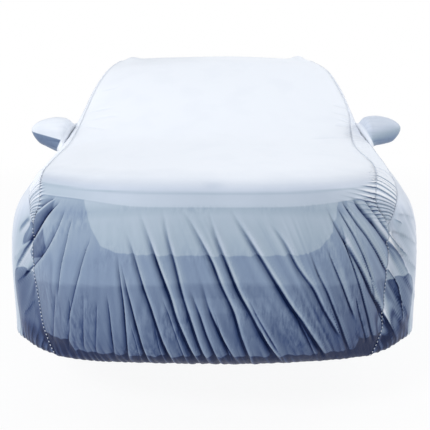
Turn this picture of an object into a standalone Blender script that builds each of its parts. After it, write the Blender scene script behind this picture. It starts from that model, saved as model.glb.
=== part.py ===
"""Fitted car cover, drawn as it hangs: a hollow shell of thin cloth with an elastic hem.

Metres, +Z up. The front of the cover faces -Y and its left side is -X. The shell is worked out
in ground coordinates (y from the foremost point of the nose, z from the ground) and then moved
so that the origin lies under the highest part of the roof, on the inner face of the cloth.
"""

import math

import bmesh
import bpy
import numpy as np
from mathutils import Vector

CLOTH = 0.0015           # thickness of the sheet
SEAM_GAP = 0.0005        # clear space left between two pieces at a seam
POCKET_SEAM_GAP = 0.0016 # the same round a mirror pocket, where the cloth turns sharply
NORMAL_ROUNDS = 2        # how often the directions of the cloth's thickness are evened out
ORIGIN_Y = 2.75          # where the origin lies, from the nose
ORIGIN_Z = 1.578         # height of the inner face of the roof there

# Lengthwise sections of the centre panel, front hem to rear hem: the middle of the section
# (y, z), its ends on the long seams (edge_y, edge_z) and the seams' distances from the middle.
CENTRE_SECTIONS = (
    # name            y      z      edge_y edge_z left   right
    ("front_tuck",    0.210, 0.274, 0.370, 0.262, 0.600, 0.585),
    ("front_hem",     0.130, 0.281, 0.300, 0.246, 0.668, 0.650),
    ("bumper_low",    0.045, 0.345, 0.335, 0.330, 0.728, 0.712),
    ("bumper",        0.000, 0.500, 0.360, 0.500, 0.762, 0.728),
    ("bumper_top",    0.005, 0.620, 0.380, 0.625, 0.782, 0.742),
    ("grille_low",    0.030, 0.740, 0.400, 0.740, 0.781, 0.750),
    ("corner_tip",    0.050, 0.820, 0.425, 0.800, 0.788, 0.748),
    ("lip_low",       0.078, 0.930, 0.410, 0.905, 0.754, 0.690),
    ("lip_top",       0.100, 0.985, 0.470, 0.965, 0.762, 0.702),
    ("bonnet_roll",   0.200, 1.022, 0.600, 1.000, 0.778, 0.728),
    ("bonnet_front",  0.400, 1.045, 0.780, 1.020, 0.790, 0.752),
    ("bonnet_mid",    0.680, 1.068, 0.980, 1.038, 0.798, 0.757),
    ("bonnet_rear",   1.000, 1.092, 1.180, 1.054, 0.802, 0.755),
    ("screen_base",   1.200, 1.118, 1.320, 1.078, 0.793, 0.756),
    ("screen_low",    1.380, 1.195, 1.480, 1.145, 0.775, 0.768),
    ("screen_mid",    1.640, 1.340, 1.700, 1.248, 0.759, 0.787),
    ("screen_high",   1.880, 1.458, 1.880, 1.382, 0.720, 0.750),
    ("screen_top",    2.060, 1.530, 2.060, 1.478, 0.680, 0.712),
    ("roof_front",    2.260, 1.564, 2.240, 1.532, 0.642, 0.658),
    ("roof_mid",      2.750, 1.580, 2.720, 1.552, 0.612, 0.618),
    ("roof_rear",     3.550, 1.552, 3.500, 1.520, 0.596, 0.600),
    ("spoiler",       3.980, 1.490, 3.860, 1.450, 0.590, 0.592),
    ("rear_screen",   4.190, 1.240, 4.030, 1.220, 0.662, 0.660),
    ("rear_corner",   4.320, 0.980, 4.120, 0.960, 0.722, 0.720),
    ("tailgate_low",  4.405, 0.740, 4.150, 0.730, 0.752, 0.750),
    ("rear_bumper",   4.455, 0.560, 4.160, 0.550, 0.762, 0.758),
    ("rear_low",      4.425, 0.350, 4.140, 0.340, 0.735, 0.730),
    ("rear_hem",      4.340, 0.285, 4.090, 0.250, 0.668, 0.662),
    ("rear_tuck",     4.260, 0.276, 4.020, 0.262, 0.600, 0.596),
)
SWEEP_POWER = 3.1        # how late a section sweeps back towards the seams
DROP_POWER = 3.0         # how late it drops towards them

# The gathered gussets: how far the side panel's seam stands out from the centre panel's seam,
# how far it lies back and how far it lies below it.
GUSSET_SECTIONS = (
    # section        left   right  back   drop
    ("lip_low",      0.060, 0.105, 0.075, 0.030),
    ("lip_top",      0.066, 0.110, 0.070, 0.056),
    ("bonnet_roll",  0.060, 0.100, 0.055, 0.056),
    ("bonnet_front", 0.050, 0.086, 0.022, 0.046),
    ("bonnet_mid",   0.036, 0.092, 0.020, 0.030),
    ("bonnet_rear",  0.036, 0.100, 0.020, 0.018),
    ("screen_base",  0.040, 0.100, 0.025, 0.014),
    ("screen_low",   0.038, 0.058, 0.020, 0.024),
    ("screen_mid",   0.018, 0.016, 0.002, 0.012),
    ("screen_high",  0.013, 0.013, 0.000, 0.009),
    ("screen_top",   0.010, 0.010, 0.000, 0.008),
)
GUSSET_ENDS = ("corner_tip", "roof_front")
GUSSET_PUFF = 0.006      # how far the ruched strip stands proud between its seams

# Rows of cloth along the centre panel between the named sections.
SEAM_STEPS = (0.0, 0.11, 0.22, 0.33, 0.44, 0.55, 0.64, 0.72, 0.80, 0.86, 0.92, 0.975, 1.0)
ROW_SPANS = (
    # from            to              rows
    ("corner_tip",    "lip_low",      2),
    ("lip_low",       "lip_top",      2),
    ("lip_top",       "bonnet_roll",  2),
    ("bonnet_roll",   "bonnet_front", 2),
    ("bonnet_front",  "bonnet_mid",   3),
    ("bonnet_mid",    "bonnet_rear",  3),
    ("bonnet_rear",   "screen_base",  2),
    ("screen_base",   "screen_low",   3),
    ("screen_low",    "screen_mid",   4),
    ("screen_mid",    "screen_high",  3),
    ("screen_high",   "screen_top",   2),
    ("screen_top",    "roof_front",   2),
    ("roof_front",    "roof_mid",     3),
    ("roof_mid",      "roof_rear",    4),
    ("roof_rear",     "spoiler",      2),
    ("spoiler",       "rear_screen",  3),
    ("rear_screen",   "rear_corner",  2),
)
COARSE_COLUMNS = 18      # columns across the bonnet, the screen, the roof and the rear
FINE_CUTS = 4            # extra cuts of each column on the folded front
FINE_TOP = "lip_low"     # the folds of the front end at this section
LEAN = 0.20              # how far the front's columns drift right, as its folds do

# Plan of the body at its widest, and the side hem's distance from the middle.
PLAN = (
    # y     body   hem
    (0.30, 0.690, 0.668),
    (0.40, 0.795, 0.776),
    (0.50, 0.890, 0.852),
    (0.60, 0.938, 0.922),
    (0.75, 0.958, 0.954),
    (1.10, 0.960, 0.958),
    (2.20, 0.956, 0.952),
    (3.40, 0.952, 0.948),
    (3.70, 0.939, 0.930),
    (3.90, 0.904, 0.880),
    (4.02, 0.852, 0.790),
    (4.09, 0.800, 0.668),
)
SIDE_HEM_Z = 0.246
SIDE_TUCK = (0.060, 0.016)           # how far the side hem turns in, and up
# How far the side leans in above its widest height.
TUMBLE = (
    # z     in
    (0.25, 0.004),
    (0.45, 0.000),
    (0.60, 0.000),
    (0.75, 0.004),
    (0.85, 0.013),
    (0.95, 0.042),
    (1.00, 0.064),
    (1.10, 0.103),
    (1.20, 0.153),
    (1.35, 0.228),
    (1.50, 0.313),
    (1.56, 0.343),
)
SEAM_PULL = 6            # how near to its long seam a side starts to turn in towards it

# Mirror pockets: the hole in the side panel, and rings of the bag from it to its tip.
POCKET_HOLE_Y = (1.36, 1.61)
POCKET_HOLE_STEPS = (0.80, 1.0)
POCKET_RINGS = (
    # x      y      z      half_y half_z tilt
    (0.868, 1.488, 1.104, 0.110, 0.094, 0.45),
    (0.906, 1.486, 1.120, 0.098, 0.094, 0.26),
    (0.945, 1.486, 1.127, 0.088, 0.082, 0.12),
    (0.985, 1.488, 1.131, 0.080, 0.064, 0.04),
    (1.014, 1.490, 1.138, 0.062, 0.038, 0.00),
    (1.030, 1.492, 1.142, 0.034, 0.017, 0.00),
)
POCKET_SHIFTS = {-1: (0.0, 0.0), 1: (0.012, 0.008)}      # each side's pocket further out, and up
POCKET_SQUARENESS = 2.5

# Folds of the front, from where each starts at the top to where it runs out low down. A valley
# has a depth above nothing, a ridge one below it; bow is how far its middle lies to the right.
FRONT_FOLDS = (
    # x      z      low_x  low_z  bow    depth
    (-0.468, 0.590, -0.480, 0.330, 0.000, 0.0065),
    (-0.425, 0.600, -0.412, 0.330, 0.000, 0.0080),
    (-0.388, 0.750, -0.347, 0.330, 0.010, 0.0115),
    (-0.366, 0.730, -0.274, 0.320, 0.000, 0.0115),
    (-0.345, 0.830, -0.178, 0.320, 0.002, 0.0145),
    (-0.294, 0.903, -0.072, 0.320, 0.000, 0.0155),
    (-0.204, 0.905, -0.036, 0.330, -0.010, 0.0145),
    (-0.106, 0.640, 0.020, 0.300, 0.000, 0.0115),
    (-0.131, 0.917, 0.138, 0.310, 0.028, 0.0155),
    (-0.056, 0.660, 0.074, 0.330, -0.008, 0.0115),
    (-0.030, 0.915, 0.255, 0.310, -0.022, 0.0155),
    (0.120, 0.600, 0.245, 0.370, 0.000, 0.0090),
    (0.050, 0.928, 0.430, 0.340, 0.004, 0.0155),
    (0.205, 0.880, 0.490, 0.420, 0.004, 0.0130),
    (0.345, 0.790, 0.540, 0.370, 0.004, 0.0115),
    (0.435, 0.912, 0.735, 0.370, -0.014, 0.0130),
    (0.505, 0.928, 0.870, 0.530, 0.008, 0.0145),
    (0.590, 0.900, 0.850, 0.660, 0.010, 0.0090),
    (0.560, 0.560, 0.640, 0.330, 0.000, 0.0065),
    (-0.650, 0.930, -0.870, 0.690, 0.000, 0.0155),
    (-0.640, 0.895, -0.800, 0.600, 0.000, 0.0115),
    (-0.618, 0.895, -0.735, 0.640, 0.000, 0.0105),
    (-0.590, 0.870, -0.680, 0.560, 0.000, 0.0080),
    (-0.655, 0.560, -0.690, 0.320, 0.000, 0.0065),
    (-0.590, 0.580, -0.605, 0.320, 0.000, 0.0065),
    (-0.525, 0.590, -0.535, 0.320, 0.000, 0.0065),
)
FOLD_WIDTHS = (0.012, 0.024)         # how fast a fold's left and right flanks level out
FRONT_FOLDS_END_Y = (0.55, 0.80)     # the front's folds fade out between these

# Slack folds of the sides, from high up on the seam to the hem.
SIDE_FOLDS = (
    # side  y     z     low_y low_z depth  width
    (-1, 0.95, 0.90, 0.80, 0.28, 0.008, 0.045),
    (-1, 1.45, 0.92, 1.22, 0.27, 0.010, 0.050),
    (-1, 1.85, 0.98, 1.75, 0.27, 0.007, 0.055),
    (-1, 2.35, 1.05, 2.20, 0.27, 0.009, 0.060),
    (-1, 2.95, 1.00, 2.90, 0.27, 0.007, 0.055),
    (-1, 3.45, 0.95, 3.60, 0.27, 0.010, 0.050),
    (-1, 3.75, 0.85, 3.95, 0.30, 0.007, 0.045),
    (1, 0.92, 0.92, 0.72, 0.28, 0.009, 0.045),
    (1, 1.30, 0.95, 1.05, 0.27, 0.007, 0.050),
    (1, 1.62, 0.92, 1.50, 0.27, 0.010, 0.055),
    (1, 2.15, 1.02, 1.95, 0.27, 0.008, 0.060),
    (1, 2.70, 1.02, 2.65, 0.27, 0.008, 0.055),
    (1, 3.25, 0.98, 3.35, 0.27, 0.008, 0.055),
    (1, 3.65, 0.90, 3.85, 0.28, 0.009, 0.045),
)

# Roof rails felt through the cloth: distance from the middle, height on each side.
RAIL_X = 0.560
RAIL_WIDTH = 0.040
RAIL_HEIGHTS = {-1: 0.017, 1: 0.025}
RAIL_SPAN_Y = (2.15, 2.35, 3.45, 3.75)

# A shallow dimple in the middle of the bonnet's front edge.
DIMPLE = (-0.010, 0.150, 1.010)
DIMPLE_RADIUS = 0.050
DIMPLE_DEPTH = 0.005

# Colour, roughness and metallic value of each piece's cloth.
CLOTHS = {
    "cloth_front": ((0.55, 0.62, 0.74), 0.38, 0.10),
    "cloth_side": ((0.74, 0.78, 0.86), 0.40, 0.08),
    "cloth_gusset": ((0.62, 0.68, 0.79), 0.45, 0.08),
    "cloth_pocket": ((0.58, 0.65, 0.77), 0.40, 0.10),
}
SIDE_NAMES = {-1: "left", 1: "right"}


# ---------------------------------------------------------------- curves through the tables

def smooth(knots, values, at):
    """Value at one place of a smooth curve through a table's points."""
    knots = np.asarray(knots, float)
    values = np.asarray(values, float)
    slopes = np.gradient(values, knots)
    at = min(max(at, knots[0]), knots[-1])
    i = int(min(max(np.searchsorted(knots, at) - 1, 0), len(knots) - 2))
    span = knots[i + 1] - knots[i]
    u = (at - knots[i]) / span
    start = (1.0 + 2.0 * u) * (1.0 - u) ** 2 * values[i]
    end = u * u * (3.0 - 2.0 * u) * values[i + 1]
    bend = u * (1.0 - u) * ((1.0 - u) * slopes[i] - u * slopes[i + 1]) * span
    return float(start + end + bend)


def ramp(value, start, end):
    """0 before start, 1 after end, and an eased step between them."""
    u = min(max((value - start) / (end - start), 0.0), 1.0)
    return u * u * (3.0 - 2.0 * u)


SECTION_INDEX = {row[0]: i for i, row in enumerate(CENTRE_SECTIONS)}


def section_stations():
    """Distance of each section along the middle of the centre panel."""
    stations = [0.0]
    for before, after in zip(CENTRE_SECTIONS, CENTRE_SECTIONS[1:]):
        stations.append(stations[-1] + math.dist(before[1:3], after[1:3]))
    return stations


STATIONS = section_stations()


def station(name):
    return STATIONS[SECTION_INDEX[name]]


def section_at(at):
    """y, z, edge_y, edge_z, left and right of the centre panel at a station."""
    return [smooth(STATIONS, [row[c] for row in CENTRE_SECTIONS], at) for c in range(1, 7)]


def gusset_at(side, at):
    """Step from the centre panel's seam to the side panel's seam, at a station."""
    start, end = (station(name) for name in GUSSET_ENDS)
    if not start < at < end:
        return Vector((0.0, 0.0, 0.0))
    knots = [start] + [station(row[0]) for row in GUSSET_SECTIONS] + [end]
    width, back, drop = (
        smooth(knots, [0.0] + [row[c] for row in GUSSET_SECTIONS] + [0.0], at)
        for c in (1 if side < 0 else 2, 3, 4)
    )
    return Vector((side * width, back, -drop))


def inner_seam(side, at):
    """Edge of the centre panel."""
    _, _, edge_y, edge_z, left, right = section_at(at)
    return Vector((-left if side < 0 else right, edge_y, edge_z))


def outer_seam(side, at):
    """Edge of the side panel, which is the centre panel's too where no gusset lies between."""
    return inner_seam(side, at) + gusset_at(side, at)


def row_stations():
    """Station of each row of cloth, front to rear."""
    hem, tip = station("front_hem"), station("corner_tip")
    corner, rear_hem = station("rear_corner"), station("rear_hem")
    rows = [station("front_tuck")]
    rows += [hem + (tip - hem) * step for step in SEAM_STEPS]
    for first, last, count in ROW_SPANS:
        start, end = station(first), station(last)
        rows += [start + (end - start) * (i + 1) / count for i in range(count)]
    rows += [corner + (rear_hem - corner) * (1.0 - step) for step in reversed(SEAM_STEPS[:-1])]
    rows.append(station("rear_tuck"))
    return rows


ROWS = row_stations()
ROW_COUNT = len(ROWS) - 1
CORNER_ROWS = len(SEAM_STEPS)                    # rows of a corner seam, tuck to tip
SIDE_COLUMNS = ROW_COUNT - 2 * CORNER_ROWS       # rows of the long seam between the corners


# ---------------------------------------------------------------- the taut shape

def centre_point(across, at):
    """Point of the centre panel: across runs from -1 at the left seam to 1 at the right one."""
    y, z, edge_y, edge_z, left, right = section_at(at)
    reach = abs(across)
    x = across * (left if across < 0.0 else right)
    return Vector((
        x,
        y + (edge_y - y) * reach ** SWEEP_POWER,
        z + (edge_z - z) * reach ** DROP_POWER,
    ))


def body_half_width(y, z):
    """Distance of the side from the middle where nothing pulls on the cloth."""
    width = smooth([row[0] for row in PLAN], [row[1] for row in PLAN], y)
    return width - smooth([row[0] for row in TUMBLE], [row[1] for row in TUMBLE], z)


def hem_point(side, along):
    """Point of the side hem, from the front corner at 0 to the rear corner at 1."""
    front = outer_seam(side, station("front_hem"))
    rear = outer_seam(side, station("rear_hem"))
    y = front.y + (rear.y - front.y) * along
    x = smooth([row[0] for row in PLAN], [row[2] for row in PLAN], y)
    near_front = (1.0 - along) ** 24
    near_rear = along ** 24
    x += near_front * (abs(front.x) - PLAN[0][2]) + near_rear * (abs(rear.x) - PLAN[-1][2])
    z = SIDE_HEM_Z + near_front * (front.z - SIDE_HEM_Z) + near_rear * (rear.z - SIDE_HEM_Z)
    return Vector((side * x, y, z))


def tuck_point(side, along):
    """Edge of the cloth turned in under the side hem."""
    hem = hem_point(side, along)
    plain = Vector((-side * SIDE_TUCK[0], 0.0, SIDE_TUCK[1]))
    front = outer_seam(side, station("front_tuck")) - outer_seam(side, station("front_hem"))
    rear = outer_seam(side, station("rear_tuck")) - outer_seam(side, station("rear_hem"))
    near_front = (1.0 - along) ** 12
    near_rear = along ** 12
    return hem + plain * (1.0 - near_front - near_rear) + front * near_front + rear * near_rear


def side_point(side, column, row):
    """Point of a side panel: column counts rows of the long seam, row counts up from the hem."""
    top = outer_seam(side, ROWS[CORNER_ROWS + column])
    tip = outer_seam(side, ROWS[CORNER_ROWS])
    heel = outer_seam(side, ROWS[CORNER_ROWS + SIDE_COLUMNS])
    along = (top.y - tip.y) / (heel.y - tip.y)
    if row == 0:
        return tuck_point(side, along)
    up = SEAM_STEPS[row - 1]
    low = hem_point(side, along)
    front = outer_seam(side, ROWS[row])
    rear = outer_seam(side, ROWS[ROW_COUNT - row])
    front_low, rear_low = hem_point(side, 0.0), hem_point(side, 1.0)

    y, z = (
        (1.0 - up) * low[c] + up * top[c]
        + (1.0 - along) * (front[c] - (1.0 - up) * front_low[c] - up * tip[c])
        + along * (rear[c] - (1.0 - up) * rear_low[c] - up * heel[c])
        for c in (1, 2)
    )

    def pull(point):
        return abs(point.x) - body_half_width(point.y, point.z)

    high = up ** SEAM_PULL
    near_front, near_rear = (1.0 - along) ** 24, along ** 24
    width = body_half_width(y, z) + (1.0 - up) ** 3 * pull(low) + high * pull(top)
    width += near_front * (
        pull(front) - (1.0 - up) ** 3 * pull(front_low) - high * pull(tip))
    width += near_rear * (
        pull(rear) - (1.0 - up) ** 3 * pull(rear_low) - high * pull(heel))
    return Vector((side * width, y, z))


def gusset_point(side, across, at):
    """Point of a gusset: across is 0 at the centre panel's seam and 1 at the side panel's."""
    inner, outer = inner_seam(side, at), outer_seam(side, at)
    width = (outer - inner).length
    puff = GUSSET_PUFF * min(width / 0.06, 1.0) * 4.0 * across * (1.0 - across)
    return inner.lerp(outer, across) + Vector((side * 0.5, -0.1, 0.85)).normalized() * puff


# ---------------------------------------------------------------- folds

def flank(distance):
    """Depth of a fold across it: sharp in the middle, its left flank steeper than its right."""
    width = FOLD_WIDTHS[0] if distance < 0.0 else FOLD_WIDTHS[1]
    return math.exp(-abs(distance) / width)


def front_folds(point):
    """How far the front's folds sink the cloth at a point."""
    if point.y > FRONT_FOLDS_END_Y[1] or point.z > 1.0:
        return 0.0
    sunk = 0.0
    for x, z, low_x, low_z, bow, depth in FRONT_FOLDS:
        down = (z - point.z) / (z - low_z)
        if not 0.0 < down < 1.15:
            continue
        fold_x = x + (low_x - x) * down + bow * 4.0 * down * (1.0 - down)
        slant = math.hypot(low_x - x, low_z - z) / (z - low_z)
        fade = ramp(down, 0.0, 0.22) * ramp(1.15 - down, 0.0, 0.25)
        sunk += depth * fade * flank((point.x - fold_x) / slant)
    return sunk * (1.0 - ramp(point.y, *FRONT_FOLDS_END_Y)) * ramp(point.z, 0.25, 0.30)


def side_folds(point, side):
    """How far the slack folds sink a side panel at a point."""
    sunk = 0.0
    for fold_side, y, z, low_y, low_z, depth, width in SIDE_FOLDS:
        if fold_side != side:
            continue
        down = (z - point.z) / (z - low_z)
        fold_y = y + (low_y - y) * down
        fade = ramp(down, 0.0, 0.35) * ramp(1.06 - down, 0.0, 0.12)
        sunk += depth * fade * math.exp(-((point.y - fold_y) / width) ** 2)
    return sunk


def rails(point):
    """How far the roof rails lift the cloth."""
    start, full, falling, end = RAIL_SPAN_Y
    along = ramp(point.y, start, full) * (1.0 - ramp(point.y, falling, end))
    height = RAIL_HEIGHTS[-1 if point.x < 0.0 else 1]
    return height * along * math.exp(-((abs(point.x) - RAIL_X) / RAIL_WIDTH) ** 2)


def slack(point):
    """Slow unevenness of the whole cover."""
    return (
        0.0022 * math.sin(5.3 * point.y + 3.1 * point.x + 1.0)
        + 0.0018 * math.sin(9.7 * point.x - 2.3 * point.y + 4.0 * point.z)
    )


def lifted(point, panel):
    """How far the cloth stands out of the taut shape at a point."""
    out = slack(point) - front_folds(point) + rails(point)
    if panel.startswith("side_panel"):
        out -= side_folds(point, -1 if panel.endswith("left") else 1)
    near = (point - Vector(DIMPLE)).length / DIMPLE_RADIUS
    return out - DIMPLE_DEPTH * math.exp(-near * near)


# ---------------------------------------------------------------- flat patterns, laid on the shape

def grid(columns, rows):
    """Flat pattern in cells: x from 0 to columns, y from 0 to rows."""
    pattern = bmesh.new()
    bmesh.ops.create_grid(pattern, x_segments=columns, y_segments=rows, size=0.5)
    for vert in pattern.verts:
        vert.co = Vector(((vert.co.x + 0.5) * columns, (vert.co.y + 0.5) * rows, 0.0))
    return pattern


def row_station(row):
    """Station of a row that may be fractional."""
    return float(np.interp(row, range(ROW_COUNT + 1), ROWS))


def centre_pattern():
    """The centre panel, its folded front cut into finer columns."""
    pattern = grid(COARSE_COLUMNS, ROW_COUNT)
    top = station(FINE_TOP) + 1e-6
    crossing = [
        edge for edge in pattern.edges
        if abs(edge.verts[0].co.y - edge.verts[1].co.y) < 1e-4
        and row_station(edge.verts[0].co.y) <= top
    ]
    bmesh.ops.subdivide_edges(pattern, edges=crossing, cuts=FINE_CUTS, use_grid_fill=True)
    for vert in pattern.verts:
        at = row_station(vert.co.y)
        across = vert.co.x / COARSE_COLUMNS * 2.0 - 1.0
        low = 1.0 - ramp(at, station("front_hem"), station("lip_top"))
        across += LEAN * low * (1.0 - across * across)
        vert.co = centre_point(across, at)
    return pattern


def side_pattern(side):
    """A side panel with the hole for its mirror pocket, and the hole's edge as places."""
    pattern = grid(SIDE_COLUMNS, CORNER_ROWS)
    low, high = (SEAM_STEPS.index(step) + 1 for step in POCKET_HOLE_STEPS)
    taken = []
    for face in pattern.faces:
        middle = face.calc_center_median()
        seam_y = outer_seam(side, row_station(CORNER_ROWS + middle.x)).y
        if low < middle.y < high and POCKET_HOLE_Y[0] < seam_y < POCKET_HOLE_Y[1]:
            taken.append(face)
    bmesh.ops.delete(pattern, geom=taken, context="FACES")
    for vert in pattern.verts:
        vert.co = side_point(side, round(vert.co.x), round(vert.co.y))
    return pattern


def gusset_pattern(side, across=3):
    """A gusset between its two ends."""
    first, last = (ROWS.index(station(name)) for name in GUSSET_ENDS)
    pattern = grid(across, last - first)
    for vert in pattern.verts:
        vert.co = gusset_point(side, vert.co.x / across, ROWS[first + round(vert.co.y)])
    bmesh.ops.remove_doubles(pattern, verts=pattern.verts, dist=1e-5)
    return pattern


def ring_place(ring, turn):
    """Point of a pocket's ring at an angle, 0 to the rear and a quarter turn up; a ring with a
    tilt leans out at its bottom, as the side of the cover does."""
    x, y, z, half_y, half_z, tilt = ring
    reach = (
        abs(math.cos(turn)) ** POCKET_SQUARENESS + abs(math.sin(turn)) ** POCKET_SQUARENESS
    ) ** (-1.0 / POCKET_SQUARENESS)
    rise = half_z * reach * math.sin(turn)
    return x - tilt * rise, y + half_y * reach * math.cos(turn), z + rise


def even_turns(root):
    """An angle for each point round the pocket's root: in their order, and evenly spaced."""
    middle_y = (max(vert.co.y for vert in root) + min(vert.co.y for vert in root)) / 2.0
    middle_z = (max(vert.co.z for vert in root) + min(vert.co.z for vert in root)) / 2.0
    seen = sorted(
        (math.atan2(vert.co.z - middle_z, vert.co.y - middle_y), i)
        for i, vert in enumerate(root)
    )
    step = 2.0 * math.pi / len(root)
    start = sum(turn - place * step for place, (turn, _) in enumerate(seen)) / len(root)
    return {root[i]: start + place * step for place, (_, i) in enumerate(seen)}


def add_pocket(whole, side, layer, number):
    """Draws a mirror pocket out of the hole in the side panel."""
    edges = [
        edge for edge in whole.edges
        if edge.is_boundary
        and all(
            POCKET_HOLE_Y[0] - 0.15 < vert.co.y < POCKET_HOLE_Y[1] + 0.15
            and vert.co.x * side > 0.6 and vert.co.z > 0.6
            for vert in edge.verts
        )
    ]
    root = sorted({vert for edge in edges for vert in edge.verts}, key=lambda vert: vert.index)
    turns = even_turns(root)
    out, up = POCKET_SHIFTS[side]
    faces = []
    for ring in POCKET_RINGS:
        made = bmesh.ops.extrude_edge_only(whole, edges=edges)["geom"]
        faces += [item for item in made if isinstance(item, bmesh.types.BMFace)]
        edges = [
            item for item in made
            if isinstance(item, bmesh.types.BMEdge) and item.is_boundary
        ]
        further = {}
        for vert in {vert for edge in edges for vert in edge.verts}:
            source = next(
                edge.other_vert(vert) for edge in vert.link_edges
                if edge.other_vert(vert) in turns
            )
            further[vert] = turns[source]
        for vert, turn in further.items():
            x, y, z = ring_place(ring, turn)
            vert.co = Vector((side * (x + out), y, z + up))
        turns = further
    tip = bmesh.ops.contextual_create(whole, geom=edges)["faces"]
    tip += bmesh.ops.poke(whole, faces=tip)["faces"]
    for face in faces + [face for face in tip if face.is_valid]:
        face[layer] = number


# ---------------------------------------------------------------- the cover as one cloth

PANELS = (
    "centre_panel",
    "side_panel_left", "side_panel_right",
    "gusset_left", "gusset_right",
    "mirror_pocket_left", "mirror_pocket_right",
)


def whole_cover():
    """All pieces sewn into one surface: its faces know their panel, its vertices a normal."""
    whole = bmesh.new()
    layer = whole.faces.layers.int.new("panel")
    patterns = [centre_pattern()]
    patterns += [side_pattern(side) for side in (-1, 1)]
    patterns += [gusset_pattern(side) for side in (-1, 1)]
    for number, pattern in enumerate(patterns):
        mesh = bpy.data.meshes.new("pattern")
        pattern.to_mesh(mesh)
        pattern.free()
        known = set(whole.faces)
        whole.from_mesh(mesh)
        bpy.data.meshes.remove(mesh)
        for face in whole.faces:
            if face not in known:
                face[layer] = number
    bmesh.ops.remove_doubles(whole, verts=whole.verts, dist=1e-4)
    for side, name in SIDE_NAMES.items():
        add_pocket(whole, side, layer, PANELS.index(f"mirror_pocket_{name}"))
    bmesh.ops.recalc_face_normals(whole, faces=whole.faces)
    highest = max(whole.faces, key=lambda face: face.calc_center_median().z)
    if highest.normal.z < 0.0:
        bmesh.ops.reverse_faces(whole, faces=whole.faces)
    whole.normal_update()
    lifts = []
    for vert in whole.verts:
        panel = PANELS[min(face[layer] for face in vert.link_faces)]
        lifts.append(vert.normal * lifted(vert.co, panel))
    for vert, lift in zip(whole.verts, lifts):
        vert.co += lift
    whole.normal_update()
    cloth_normal = whole.verts.layers.float_vector.new("cloth_normal")
    normals = {vert: vert.normal.copy() for vert in whole.verts}
    for _ in range(NORMAL_ROUNDS):
        normals = {
            vert: (own + sum(
                (normals[edge.other_vert(vert)] for edge in vert.link_edges), Vector()
            ) / len(vert.link_edges)).normalized()
            for vert, own in normals.items()
        }
    for vert, own in normals.items():
        vert[cloth_normal] = own
    return whole


def draw_back_seams(panel, gap):
    """Moves a panel's edges in by half the seam gap, so that its neighbours stay clear."""
    moves = {}
    for vert in panel.verts:
        inward = []
        for edge in vert.link_edges:
            if not edge.is_boundary:
                continue
            face = edge.link_faces[0]
            side = face.normal.cross(edge.verts[1].co - edge.verts[0].co).normalized()
            if side.dot(face.calc_center_median() - edge.verts[0].co) < 0.0:
                side = -side
            inward.append(side)
        if len(inward) == 2:
            mitre = max(1.0 + inward[0].dot(inward[1]), 0.02)
            moves[vert] = (inward[0] + inward[1]) * (gap * 0.5 / mitre)
    for vert, move in moves.items():
        vert.co += move


def thicken(panel, normal):
    """Gives the surface its inner face and its edges."""
    grown = bmesh.ops.extrude_face_region(panel, geom=panel.faces[:])["geom"]
    for item in grown:
        if isinstance(item, bmesh.types.BMVert):
            item.co -= item[normal].normalized() * CLOTH
    bmesh.ops.recalc_face_normals(panel, faces=panel.faces)


def cloth_material(name):
    colour, roughness, metallic = CLOTHS[name]
    material = bpy.data.materials.new(name)
    material.use_nodes = True
    shader = material.node_tree.nodes["Principled BSDF"]
    shader.inputs["Base Color"].default_value = (*colour, 1.0)
    shader.inputs["Roughness"].default_value = roughness
    shader.inputs["Metallic"].default_value = metallic
    return material


def make_panel(whole, number, name, material, collection):
    """One piece of the cover as a closed solid."""
    panel = whole.copy()
    layer = panel.faces.layers.int["panel"]
    others = [face for face in panel.faces if face[layer] != number]
    bmesh.ops.delete(panel, geom=others, context="FACES")
    normal = panel.verts.layers.float_vector["cloth_normal"]
    draw_back_seams(panel, POCKET_SEAM_GAP if name.startswith("mirror") else SEAM_GAP)
    thicken(panel, normal)
    for vert in panel.verts:
        vert.co -= Vector((0.0, ORIGIN_Y, ORIGIN_Z))
    mesh = bpy.data.meshes.new(name)
    panel.to_mesh(mesh)
    panel.free()
    mesh.shade_smooth()
    mesh.set_sharp_from_angle(angle=math.radians(50.0))
    mesh.materials.append(material)
    piece = bpy.data.objects.new(name, mesh)
    collection.objects.link(piece)
    return piece


def main():
    for item in list(bpy.data.objects):
        bpy.data.objects.remove(item, do_unlink=True)
    collection = bpy.data.collections.new("car_cover")
    bpy.context.scene.collection.children.link(collection)
    materials = {name: cloth_material(name) for name in CLOTHS}
    cloth_of = {
        "centre": "cloth_front", "side": "cloth_side",
        "gusset": "cloth_gusset", "mirror": "cloth_pocket",
    }
    whole = whole_cover()
    for number, name in enumerate(PANELS):
        material = materials[cloth_of[name.split("_")[0]]]
        make_panel(whole, number, name, material, collection)
    whole.free()


main()
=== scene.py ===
"""Looks of the fitted car cover: draped cloth with its folds, ruches, hem and seams.

Metres, +Z up; the cover's front faces -Y and its left side is -X. Shapes are worked out in ground
coordinates (y from the nose, z from the ground) and moved into the row's frame as a piece is made.
"""

import math
from functools import partial

import bmesh
import bpy
import numpy as np
from mathutils import Matrix, Vector


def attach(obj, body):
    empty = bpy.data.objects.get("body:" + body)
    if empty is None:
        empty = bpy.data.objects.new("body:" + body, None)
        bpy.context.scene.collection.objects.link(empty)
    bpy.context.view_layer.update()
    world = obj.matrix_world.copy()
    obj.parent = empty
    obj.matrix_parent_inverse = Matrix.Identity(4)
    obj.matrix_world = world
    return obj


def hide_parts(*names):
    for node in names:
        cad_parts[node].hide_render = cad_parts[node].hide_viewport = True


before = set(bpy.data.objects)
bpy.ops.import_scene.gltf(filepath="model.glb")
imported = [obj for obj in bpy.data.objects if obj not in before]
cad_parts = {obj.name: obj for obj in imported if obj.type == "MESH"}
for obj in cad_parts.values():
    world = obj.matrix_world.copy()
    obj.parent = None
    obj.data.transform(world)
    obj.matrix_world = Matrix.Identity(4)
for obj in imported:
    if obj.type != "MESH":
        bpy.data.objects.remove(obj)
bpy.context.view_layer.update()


# ---------------------------------------------------------------- tables: the shape

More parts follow.
